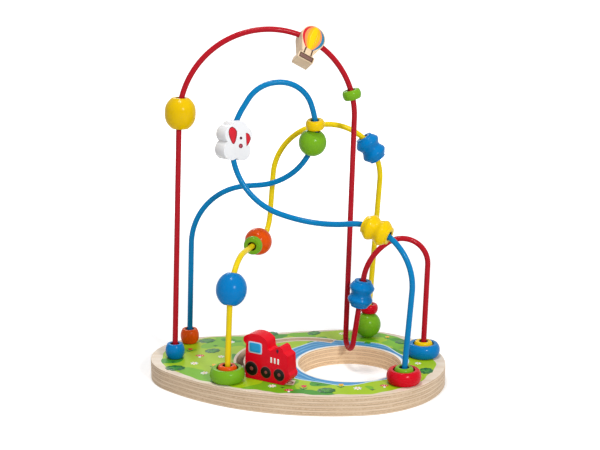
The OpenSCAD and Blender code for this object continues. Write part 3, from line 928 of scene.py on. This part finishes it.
@dataclass
class Printed:
    """Base of what carries a print: thin films, gathered into one piece per ink."""

    films: dict[Hue, list[Mesh]] = field(default_factory=dict, init=False)
    film: ClassVar[float] = 0.05

    def put(self, hue: Hue, part: Mesh) -> None:
        """Print one film, given as right, up and out; each kind has its own plane."""

    def shape(self, hue: Hue, layer: Layer, outline: Array) -> None:
        """Print the inside of an outline."""
        self.put(hue, blot(outline, self.film + layer.value))

    def oval(self, hue: Hue, layer: Layer, *form, **more) -> None:
        """Print an ellipse, given as ellipse takes it."""
        self.shape(hue, layer, ellipse(*form, **more))

    def box(self, hue: Hue, layer: Layer, *form) -> None:
        """Print a rounded rectangle, given as box_outline takes it."""
        self.shape(hue, layer, box_outline(*form))

    def add_films(self, prefix: str, body: str, slot: str) -> None:
        """Add one piece per ink.

        Args:
            prefix: start of the pieces' names.
            body: the body that they ride on.
            slot: not used.
        """
        for hue, parts in self.films.items():
            counts = np.cumsum([0] + [len(points) for points, _ in parts])
            points = np.vstack([points for points, _ in parts])
            faces = np.vstack([faces + count for (_, faces), count in zip(parts, counts)])
            add_piece(prefix + hue.name.lower(), points, faces, Ink(hue), body)


@dataclass
class Slab(Printed):
    """A flat bead with a print on both faces."""

    node: str
    body: str
    finish: Finish
    slot: str
    origin: Place
    right: Place
    up: Place
    edge: float
    thick: float = 15.0

    def put(self, hue: Hue, part: Mesh) -> None:
        """Print one film on the front face, and mirrored on the back face."""
        points, faces = part
        right, up = unit(np.array(self.right)), unit(np.array(self.up))
        out = np.cross(right, up) * self.thick / 2
        mirrored = points * np.array([-1, 1, 1])
        self.films.setdefault(hue, []).extend([
            (place_on(points, np.array(self.origin) + out, right, up), faces),
            (place_on(mirrored, np.array(self.origin) - out, -right, up), flipped(faces))])

    def draw(self) -> None:
        """Add the print; each kind of slab has its own."""

    def build(self, frame: dict) -> None:
        """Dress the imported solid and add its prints."""
        dress(frame["nodes"][self.node], self.finish, self.edge)
        self.draw()
        self.add_films(self.node + "_", self.body, self.slot)


@dataclass
class BalloonSlab(Slab):
    """Natural wood slab with a balloon in coloured gores, ropes and a basket."""

    crown: float = 11.7
    drop: float = 14.6
    narrow: float = 0.66
    narrow_power: float = 1.9
    tip: float = 0.2
    rope_x: float = 3.6
    rope_spread: float = 1.08
    rope_ends: tuple[float, float] = (-14.2, -21.4)
    rope_width: float = 1.5
    basket: tuple[float, float] = (0.0, -24.7)
    basket_rim: Place = (15.0, 5.8, 0.4)
    basket_face: Place = (12.8, 3.4, 0.4)
    gores: ClassVar[tuple] = (
        (Hue.INK_RED, -1.0, -0.78), (Hue.INK_PEACH, -0.78, -0.52), (Hue.INK_AMBER, -0.52, -0.30),
        (Hue.INK_YELLOW, -0.30, 0.26), (Hue.INK_AMBER, 0.26, 0.56), (Hue.INK_PEACH, 0.56, 0.74),
        (Hue.INK_BLUE, 0.74, 1.0))

    def gore(self, low: float, high: float) -> Array:
        """Part of the balloon between two shares of its width.

        The balloon's half width at a height is that of a circle above its middle and narrows below it
        to a third of the circle's along a smooth curve.

        Args:
            low, high: shares of the half width, from minus one to one.
        Returns:
            Places as rows by columns.
        """
        t = np.linspace(0.0, 1.0, 33)[:, None]
        y = self.crown - (self.crown + self.drop) * t
        above = np.sqrt(np.maximum(self.crown ** 2 - np.maximum(y, 0) ** 2, self.tip ** 2))
        share = np.clip(-y / self.drop, 0, 1)
        half = np.where(y > 0, above, self.crown * (1 - self.narrow * share ** self.narrow_power))
        x = half * np.linspace(low, high, 7)[None, :]
        return np.stack([x, np.broadcast_to(y, x.shape)], axis=-1)[::-1]

    def draw(self) -> None:
        """Gores from left to right, then two ropes and the basket."""
        for hue, low, high in self.gores:
            self.put(hue, patch(self.gore(low, high), self.film))
        for x in (-self.rope_x, self.rope_x):
            line = np.linspace((x, self.rope_ends[0]), (x * self.rope_spread, self.rope_ends[1]), 6)
            self.put(Hue.INK_BROWN, ribbon(line, self.rope_width, self.film))
        self.box(Hue.INK_BROWN, Layer.GROUND, self.basket, *self.basket_rim)
        self.box(Hue.INK_TAUPE, Layer.OVER, self.basket, *self.basket_face)


@dataclass
class PuppySlab(Slab):
    """White slab with a puppy's face: two red ears, an eye and a nose."""

    left_ear: ClassVar[tuple] = (
        (-9.8, 13.2), (-12.1, 11.4), (-12.9, 8.6), (-12.3, 5.3), (-10.5, 1.4), (-7.2, -3.1), (-5.6, -4.0),
        (-4.2, -3.4), (-3.1, -0.6), (-2.2, 4.8), (-2.4, 8.8), (-4.7, 11.4), (-7.7, 13.0))
    right_ear: ClassVar[tuple] = (
        (8.2, 8.0), (8.9, 3.9), (9.8, -1.0), (10.7, -5.3), (12.9, -3.0), (14.7, -0.2), (15.1, 2.5),
        (14.0, 5.1), (12.2, 7.0), (10.0, 8.0))
    eye: ClassVar[tuple] = ((2.95, 2.55), 1.65, 1.45)
    nose: ClassVar[tuple] = ((3.5, -5.1), 2.5, 2.25)
    shine: ClassVar[tuple] = ((3.5, -5.0), 0.9, 0.8)

    def ear(self, corners: tuple, round_by: float, rim: float) -> None:
        """A red ear in a darker rim.

        Args:
            corners: rim points, counter-clockwise.
            round_by: reach of the rounding.
            rim: width of the rim.
        """
        loop = softened(even_loop(np.array(corners), 96), round_by)
        middle = loop.mean(axis=0)
        size = np.linalg.norm(loop - middle, axis=1, keepdims=True)
        self.shape(Hue.INK_MAROON, Layer.GROUND, loop)
        self.shape(Hue.INK_RED, Layer.OVER, middle + (loop - middle) * (1 - rim / size))

    def draw(self) -> None:
        """Ears, eye and nose."""
        self.ear(self.left_ear, round_by=0.8, rim=0.9)
        self.ear(self.right_ear, round_by=0.4, rim=0.7)
        self.oval(Hue.INK_WINE, Layer.GROUND, *self.eye, count=40)
        self.oval(Hue.INK_MAROON, Layer.GROUND, *self.nose)
        self.oval(Hue.INK_ROSE, Layer.OVER, *self.shine, count=32)


@dataclass
class TrainSlab(Slab):
    """Red slab of an engine with a window, wheels and trim."""

    film: ClassVar[float] = 0.06
    window: ClassVar[tuple] = (-12.1, 32.5)
    window_frame: ClassVar[Place] = (15.8, 11.8, 1.5)
    window_pane: ClassVar[Place] = (13.2, 9.4, 1.5)
    wheels: ClassVar[tuple] = ((-16.6, 10.5, 7.5), (-0.1, 9.4, 6.2), (15.0, 9.6, 6.4))
    tyre_rim: ClassVar[float] = 0.5
    hub_share: ClassVar[float] = 0.27
    bars: ClassVar[tuple] = ((6.2, 23.2), (10.2, 23.0), (14.1, 22.8))
    bar: ClassVar[Place] = (1.9, 5.8, 0.4)
    tear: ClassVar[tuple] = ((13.3, 33.2), 1.5, 2.2)

    def draw(self) -> None:
        """Window, wheels, bars and a drop, placed from the middle of the slab's foot."""
        self.box(Hue.INK_PALE, Layer.GROUND, self.window, *self.window_frame)
        self.box(Hue.INK_WINDOW, Layer.OVER, self.window, *self.window_pane)
        for x, z, r in self.wheels:
            self.oval(Hue.INK_HUB, Layer.GROUND, (x, z), r, r)
            self.oval(Hue.INK_BLACK, Layer.OVER, (x, z), r - self.tyre_rim, r - self.tyre_rim)
            self.oval(Hue.INK_HUB, Layer.HUB, (x, z), r * self.hub_share, r * self.hub_share, count=32)
        for place in self.bars:
            self.box(Hue.INK_WHITE, Layer.GROUND, place, *self.bar)
        self.oval(Hue.INK_WINE, Layer.GROUND, *self.tear, count=32, point=0.5)


SLABS = [
    BalloonSlab("balloon_bead", "balloon_bead", BareWood("slab_beech", Hue.BEECH, Hue.BEECH_DARK), "natural_wood",
                (12.986, 34.728, 340.3), (0.85774, 0.15493, -0.49018), (0.29318, 0.63582, 0.71399), edge=0.7),
    PuppySlab("puppy_bead", "puppy_bead", Lacquer(Hue.WHITE, grain=0.03), "white_lacquer",
              (-61.884, 1.023, 247.18), (0.7641, 0.62499, -0.15978), (0.09043, 0.14147, 0.9858), edge=1.0),
    TrainSlab("train_body", "train", Lacquer(Hue.RED_BRIGHT), "red_lacquer",
              (-26.493, -54.563, 20.3), (0.85717, -0.51504, 0.0), UP, edge=1.7),
]


@dataclass
class Board(Finish):
    """Plywood base with a printed meadow."""

    title: str = "meadow_plywood"
    depth: float = 0.00005
    strength: ClassVar[float] = 0.5
    thick: float = 20.0
    edge: float = 0.9
    plies: int = 9
    sway: float = 0.5
    hole: tuple[float, float] = (52.95, -7.036)
    lip_radius: float = 55.0
    # painted light: the wall of the round opening is made lighter and warmer, standing in for light bounced off
    # the white floor
    hole_tint: Place = (1.28, 1.24, 1.14)
    slot: tuple[float, float] = (7.5, 2.0102)
    slot_radius: float = 66.0
    slot_way: tuple[float, float] = (-0.9483, 0.3173)
    slot_end: float = -0.17
    band: float = 6.4
    margin: float = 5.4
    margin_waves: tuple[Place, ...] = ((1.3, 15.0, 0.0), (0.5, 37.0, 1.0))
    end_margin: float = 7.0
    half_length: float = 150.0
    shore: float = 66.0
    shore_waves: tuple[Place, ...] = ((2.2, 7.0, 0.6), (9.0, 1.0, np.pi / 2 - 2.6))
    curve_span: float = 200.0
    arcs: tuple = (((-86.0, 13.5111), 64.0, 99.818, 224.608), ((33.6045, 131.489), 232.0, 224.608, 277.135),
                   ((50.0, 0.5111), 100.0, 277.135, 459.818))
    coat: ClassVar[dict[str, float]] = {"Specular IOR Level": 0.15, "Coat Weight": 0.05, "Coat Roughness": 0.2}

    def reach(self, count: int = 32) -> Array:
        """Distance of the rim from the base's middle, at equal angles from minus to plus 180 degrees.

        The rim is three arcs with a straight back between their ends.
        """
        rows = []
        for centre, radius, start, end in self.arcs:
            a = np.radians(np.linspace(start, end, 120))
            rows.append(np.array(centre) + radius * np.stack([np.cos(a), np.sin(a)], axis=1))
        rim = even_loop(np.vstack(rows), 1440)
        angle = np.arctan2(rim[:, 1], rim[:, 0])
        order = np.argsort(angle)
        wanted = np.linspace(-np.pi, np.pi, count)
        return np.interp(wanted, angle[order], np.linalg.norm(rim, axis=1)[order], period=2 * np.pi)

    def rim(self, graph: Graph, turn: Term) -> Term:
        """Distance of the rim at an angle, read from a curve."""
        curve = graph.add("ShaderNodeFloatCurve", {1: turn * (0.5 / np.pi) + 0.5})
        reach = (self.reach() / self.curve_span).tolist()
        points = curve.mapping.curves[0].points
        points[0].location = (0.0, reach[0])
        points[1].location = (1.0, reach[-1])
        for k, value in enumerate(reach[1:-1], start=1):
            points.new(k / (len(reach) - 1), value)
        curve.mapping.update()
        return Term(graph, curve.outputs[0]) * self.curve_span

    def plies_color(self, graph: Graph, place: Socket, height: Term, away: Term) -> Socket:
        """Colour of the cut edge: plies that show long and end grain in turn, with thin glue lines.

        Args:
            graph: the material's graph.
            place: object coordinates.
            height: height over the underside.
            away: distance from the middle of the round opening, whose wall is made lighter and warmer by painted
                bounce light.
        Returns:
            The colour.
        """
        ply = height * (self.plies / self.thick) + graph.noise(place, (22, 22, 8), 2.0) * self.sway
        parity = graph.math("FLOORED_MODULO", graph.math("FLOOR", ply), 2.0)
        long_grain = graph.noise(place, (45, 45, 3800), 4.0, 0.7).step(0.3, 0.7)
        end_grain = graph.noise(place, (420, 420, 2600), 3.0, 0.75).step(0.3, 0.7)
        color = graph.mix(parity, graph.mix(long_grain, Hue.PLY, Hue.PLY_DARK),
                          graph.mix(end_grain, Hue.PLY_END, Hue.PLY_END_DARK))
        glue = 1.0 - graph.math("PINGPONG", graph.math("FRACT", ply), 0.5).step(0.03, 0.12)
        bold = graph.noise(place, (30, 30, 240), 2.0).step(0.35, 0.65, 0.15, 0.85)
        color = graph.mix(glue * bold, color, Hue.GLUE)
        # painted light: the opening's wall is lightened and warmed as if lit by light bounced off the floor
        warm = graph.vector("MULTIPLY", color, self.hole_tint)
        return graph.mix(away.below(self.lip_radius + 0.25, 0.25), color, warm)

    def grass_color(self, graph: Graph, place: Socket) -> Socket:
        """Patches of three greens with fine dark blades."""
        light = graph.noise(place, 26.0, 1.0).step(0.478, 0.484)
        color = graph.mix(light, Hue.LEAF, Hue.LEAF_LIGHT)
        dark = graph.noise(graph.mapped(place, Location=(0.4, 0.2, 0.0)), 34.0, 1.0).step(0.595, 0.602)
        color = graph.mix(dark, color, Hue.LEAF_DARK)
        return graph.mix(graph.noise(place, 620.0, 2.0) * 0.15, color, Hue.LEAF_DARK)

    def pond_color(self, graph: Graph, place: Socket, side: Term, away: Term, grass: Socket) -> Socket:
        """Grass round a rippled pond with a pale bank, and a white lip at the round opening.

        Args:
            graph: the material's graph.
            place: object coordinates.
            side, away: angle and distance from the middle of the round opening.
            grass: colour outside the pond.
        Returns:
            The colour.
        """
        inland = away - graph.waves(side, self.shore, self.shore_waves)
        pond = inland.below(0.0)
        ripple = graph.math("SINE", graph.noise(place, 60.0, 1.0) * 9.0 + away * 1.1).step(0.35, 0.75, 0.0, 0.75)
        color = graph.mix(pond, grass, graph.mix(ripple, Hue.POND, Hue.POND_LIGHT))
        color = graph.mix(pond * inland.step(-1.5, -1.2), color, Hue.BANK)
        return graph.mix(away.below(self.lip_radius - 0.15, 0.15), color, Hue.LIP)

    def cover(self, graph: Graph, x: Term, y: Term) -> Term:
        """One where the top is printed: within a wavy margin, wider at both ends, and beside the train's band."""
        turn = graph.math("ARCTAN2", y, x)
        margin = graph.math("POWER", x / self.half_length, 4.0) * self.end_margin
        margin = margin + graph.waves(turn, self.margin, self.margin_waves)
        inside = (graph.length(x, y) + margin - self.rim(graph, turn)).below(0.0)
        from_x, from_y = x - self.slot[0], y - self.slot[1]
        bow = graph.length(from_x, from_y)
        ahead = (from_x * self.slot_way[0] + from_y * self.slot_way[1]) / bow
        band = graph.math("GREATER_THAN", ahead, self.slot_end) * abs(bow - self.slot_radius).below(self.band)
        return inside * (1.0 - band)

    def paint(self, graph: Graph, shader: Node) -> None:
        """Printed top, walls that show plies and a bare underside."""
        coordinate = graph.add("ShaderNodeTexCoord").outputs
        place = coordinate["Object"]
        facing = graph.split(coordinate["Normal"])[2]
        x, y, height = graph.split(graph.scaled(place, 1.0 / MM))
        from_x, from_y = x - self.hole[0], y - self.hole[1]
        away, side = graph.length(from_x, from_y), graph.math("ARCTAN2", from_y, from_x)
        tones = {"Pale Color": Hue.BIRCH, "Dark Color": Hue.BIRCH_DARK}
        wood, rough, fibre = WOOD_GRAIN.place(graph, tones)
        top = facing.step(0.75, 0.85) * graph.math("GREATER_THAN", height, self.thick - 1.0)
        meadow = self.pond_color(graph, place, side, away, self.grass_color(graph, place))
        printed = graph.mix(self.cover(graph, x, y), wood, INK_FILM.place(graph, {"Color": meadow})[0])
        color = graph.mix(abs(facing).step(0.6, 0.8), self.plies_color(graph, place, height, away), wood)
        self.wear(graph, shader, graph.mix(top, color, printed), rough * 0.5 - top * 0.1 + 0.3, fibre)

    def build(self, frame: dict) -> None:
        """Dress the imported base."""
        dress(frame["nodes"]["base_plate"], self, self.edge)


@dataclass
class Meadow(Printed):
    """Printed plants on the base's top. Each row is a place, a size and what else the plant takes."""

    level: float = 20.0
    bushes: ClassVar[tuple] = (
        (-122, -22, 9, 0), (-96, 62, 8, 20), (-30, 85, 8.5, 10), (18, 88, 7, 40), (112, 58, 8, 15),
        (128, -30, 8, 70), (28, -84, 8, 5), (-88, 30, 7.5, 30), (-18, 40, 7, 0))
    daisies: ClassVar[tuple] = (
        (-104, -8, 4.2, 10), (-78, 12, 3.6, 40), (-92, -36, 4.0, 0), (-70, 58, 3.8, 25), (48, 86, 3.6, 5),
        (-24, -72, 4.0, 30), (58, -78, 4.2, 12), (122, -8, 3.4, 0), (-30, 12, 3.6, 15), (-46, -18, 3.4, 50))
    tulips: ClassVar[tuple] = (
        (-112, 34, 4.4, Hue.INK_RED), (-84, -14, 4.6, Hue.INK_AMBER), (6, -74, 4.8, Hue.INK_RED),
        (42, -70, 4.4, Hue.INK_AMBER), (-20, 26, 4.2, Hue.INK_RED), (96, 74, 4.0, Hue.INK_AMBER))
    mushrooms: ClassVar[tuple] = ((-100, 14, 4.6), (84, -72, 4.2), (-8, -84, 4.4), (-38, -4, 3.8))
    lilies: ClassVar[tuple] = ((-8, 8, 4.2, 40), (-6, -22, 3.6, 130), (74, 55, 3.8, 250), (113, -24, 3.4, 200))
    tufts: ClassVar[tuple] = (
        (-118, 20, 4), (-76, -34, 4), (-14, -78, 4), (72, -84, 4), (-86, 44, 4), (-44, 30, 4), (132, 30, 4),
        (20, -70, 3.6), (-126, -6, 4))

    def put(self, hue: Hue, part: Mesh) -> None:
        """Print one film on the top."""
        self.films.setdefault(hue, []).append((part[0] + np.array([0.0, 0.0, self.level]), part[1]))

    def leaf(self, hue: Hue, layer: Layer, plant: Place, shares: tuple, lean: float = 0.0, count: int = 24,
             **form) -> None:
        """Print an oval part of a plant.

        Args:
            hue: the ink.
            layer: height over the lowest film.
            plant: the plant's place and size.
            shares: the oval's place and half sizes, as shares of the plant's size.
            lean, count, form: as in ellipse.
        """
        x, y, size = plant
        dx, dy, wide, high = np.array(shares) * size
        self.oval(hue, layer, (x + dx, y + dy), wide, high, lean, count, **form)

    def daisy(self, x: float, y: float, size: float, turn: float) -> None:
        """Seven white petals round a yellow heart."""
        for k in range(7):
            lean = turn + k * 360 / 7
            a = np.radians(lean)
            petal = (0.62 * np.cos(a), 0.62 * np.sin(a), 0.42, 0.24)
            self.leaf(Hue.INK_WHITE, Layer.GROUND, (x, y, size), petal, lean, 20)
        self.leaf(Hue.INK_AMBER, Layer.PETAL, (x, y, size), (0, 0, 0.3, 0.3), 0, 20)

    def tulip(self, x: float, y: float, size: float, hue: Hue) -> None:
        """A cup of three petals on a stem with two leaves."""
        stem = np.linspace((x, y - 1.7 * size), (x + 0.15 * size, y), 7)
        self.put(Hue.LEAF_DEEP, ribbon(stem, 0.14 * size, self.film))
        for side in (-1, 1):
            self.leaf(Hue.LEAF_DEEP, Layer.GROUND, (x, y, size), (0.42 * side, -1.0, 0.62, 0.17), 52 * side)
            self.leaf(hue, Layer.PETAL, (x, y, size), (0.12 + 0.26 * side, 0.25, 0.26, 0.62), -14 * side)
        self.leaf(hue, Layer.OVER, (x, y, size), (0.12, 0.3, 0.3, 0.6))

    def bush(self, x: float, y: float, size: float, turn: float) -> None:
        """A round bush with lobes and three lit tufts."""
        self.leaf(Hue.LEAF_DEEP, Layer.GROUND, (x, y, size), (0, 0, 1.0, 0.8), turn, 72, lobes=9, wave=0.16)
        for dx, dy, r in ((-0.35, 0.2, 0.32), (0.3, 0.3, 0.28), (0.05, -0.25, 0.3)):
            self.leaf(Hue.LEAF_DARK, Layer.PETAL, (x, y, size), (dx, dy, r, 0.8 * r), turn, 40, lobes=6, wave=0.2)

    def mushroom(self, x: float, y: float, size: float) -> None:
        """A pale stalk under a red cap with white spots."""
        self.box(Hue.INK_WHITE, Layer.GROUND, (x, y - 0.55 * size), 0.5 * size, size, 0.1 * size)
        turn = np.linspace(0.0, np.pi, 25)
        cap = np.stack([np.cos(turn), np.sin(turn) * 0.95], axis=1)
        sole = np.stack([np.linspace(-0.96, 0.96, 15), -0.12 - 0.1 * np.cos(np.linspace(-1.5, 1.5, 15))], axis=1)
        self.shape(Hue.INK_RED, Layer.PETAL, np.vstack([cap, sole]) * size + np.array([x, y]))
        for dx, dy, r in ((-0.45, 0.3, 0.14), (0.05, 0.6, 0.16), (0.5, 0.25, 0.13), (0.0, 0.15, 0.1)):
            self.leaf(Hue.INK_WHITE, Layer.SPOT, (x, y, size), (dx, dy, r, 0.8 * r), 0, 20)

    def lily(self, x: float, y: float, size: float, turn: float) -> None:
        """A round leaf with a notch."""
        a = np.radians(turn + np.linspace(18, 342, 40))
        rim = np.stack([np.cos(a), 0.85 * np.sin(a)], axis=1)
        notch = 0.15 * np.array([[np.cos(np.radians(turn)), np.sin(np.radians(turn))]])
        self.shape(Hue.LEAF_DARK, Layer.GROUND, np.vstack([rim, notch]) * size + np.array([x, y]))

    def tuft(self, x: float, y: float, size: float) -> None:
        """Five blades of grass that fan out."""
        t = np.linspace(0.0, 1.0, 6)
        for bend in (-0.7, -0.35, 0.0, 0.35, 0.7):
            line = np.stack([x + bend * size * t ** 1.6, y + size * (1 - 0.25 * abs(bend)) * t], axis=1)
            self.put(Hue.LEAF_DEEP, ribbon(line, 0.16 * size, self.film))

    def build(self) -> None:
        """Lay out the plants and add one piece per ink."""
        for plant, rows in ((self.bush, self.bushes), (self.daisy, self.daisies), (self.tulip, self.tulips),
                            (self.mushroom, self.mushrooms), (self.lily, self.lilies), (self.tuft, self.tufts)):
            for row in rows:
                plant(*row)
        self.add_films("meadow_", "frame", "plywood")


@dataclass
class Hardware:
    """Guide of the train under the base."""

    keeper_edge: float = 0.5
    steel_edge: float = 0.25

    def build(self, frame: dict) -> None:
        """Dress the keeper in wood and the sleeves and screws in steel."""
        nodes = frame["nodes"]
        dress(nodes["train_keeper"], BareWood("keeper_birch", Hue.BIRCH, Hue.BIRCH_DARK), self.keeper_edge)
        for name in ("guide_sleeves", "guide_screws"):
            dress(nodes[name], Steel(), self.steel_edge)


@dataclass(frozen=True)
class Lamp:
    """Square soft light: place and side in metres, power in watts."""

    name: str
    place: Place
    size: float
    power: float

    def build(self, aim: Place) -> None:
        """Hang the lamp and point it at a place."""
        data = bpy.data.lights.new(self.name, "AREA")
        data.shape = "SQUARE"
        data.size = self.size
        data.energy = self.power
        lamp = new_object(self.name, data)
        lamp.location = self.place
        back = unit(np.array(self.place) - np.array(aim))
        lamp.rotation_euler = (np.arccos(back[2]), 0.0, np.arctan2(back[1], back[0]) + np.pi / 2)


@dataclass
class Studio:
    """White floor, soft lights and the camera."""

    camera_place: Place = (2.76, -1267.16, 474.54)
    pitch: float = 13.859
    lens: float = 79.065
    sensor: float = 36.0
    world_level: float = 0.3
    floor_reach: float = 12.0
    floor_tone: Color = (0.86, 0.86, 0.86, 1.0)
    floor_rough: float = 0.9
    floor_glow: float = 0.31
    glow_span: tuple[float, float] = (0.25, 1.1)
    aim: Place = (0.0, 0.0, 0.15)
    lamps: tuple[Lamp, ...] = (
        Lamp("key", (0.7, -1.45, 0.95), 0.3, 15.5), Lamp("fill", (-1.4, -0.9, 0.8), 0.4, 0.4),
        Lamp("top", (-0.1, -0.2, 1.8), 0.35, 12.5), Lamp("back", (-0.4, 1.5, 1.0), 0.4, 4.0))

    def camera(self) -> None:
        """Camera at the photograph's viewing angle."""
        data = bpy.data.cameras.new("camera")
        data.lens = self.lens
        data.sensor_width = self.sensor
        data.sensor_fit = "HORIZONTAL"
        camera = new_object("camera", data)
        camera.location = np.array(self.camera_place) * MM
        camera.rotation_euler = (np.radians(90.0 - self.pitch), 0.0, 0.0)
        bpy.context.scene.camera = camera

    def seen(self, graph: Graph) -> Term:
        """One for camera, glossy and transmission rays."""
        path = graph.add("ShaderNodeLightPath").outputs
        both = graph.math("MAXIMUM", path["Is Camera Ray"], path["Is Glossy Ray"])
        return graph.math("MAXIMUM", both, path["Is Transmission Ray"])

    def world(self) -> None:
        """White to look at, softer as a light."""
        world = bpy.data.worlds.new("studio")
        world.use_nodes = True
        graph = Graph(world.node_tree)
        background = next(n for n in world.node_tree.nodes if n.type == "BACKGROUND")
        level = self.seen(graph) * (1.0 - self.world_level) + self.world_level
        graph.join(background, {"Color": FULL, "Strength": level})
        bpy.context.scene.world = world

    def floor(self) -> None:
        """Wide white floor that keeps the object's shadow and glows more further out."""
        mesh = bpy.data.meshes.new("floor")
        r = self.floor_reach
        mesh.from_pydata([(-r, -r, 0), (r, -r, 0), (r, r, 0), (-r, r, 0)], [], [(0, 1, 2, 3)])
        material, graph, shader = new_shader("floor")
        away = graph.add("ShaderNodeVectorMath", {0: graph.place()}, operation="LENGTH").outputs["Value"]
        glow = Term(graph, away).step(*self.glow_span, self.floor_glow, 1.0)
        graph.join(shader, {"Base Color": self.floor_tone, "Roughness": self.floor_rough, "Emission Color": FULL,
                            "Emission Strength": self.seen(graph) * glow})
        mesh.materials.append(material)
        floor = new_object("floor", mesh)

    def build(self) -> None:
        """Set up the studio."""
        bpy.context.scene.view_settings.view_transform = "Standard"
        self.camera()
        self.world()
        self.floor()
        for lamp in self.lamps:
            lamp.build(self.aim)


def main() -> None:
    """Load the frame, dress every piece in order and report them."""
    logging.basicConfig(level=logging.INFO, format="%(name)s: %(message)s")
    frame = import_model()
    Studio().build()
    Board().build(frame)
    Meadow().build()
    for piece in WIRES + BEADS:
        piece.build()
    for slab in SLABS:
        slab.build(frame)
    Hardware().build(frame)


if __name__ == "__main__":
    main()
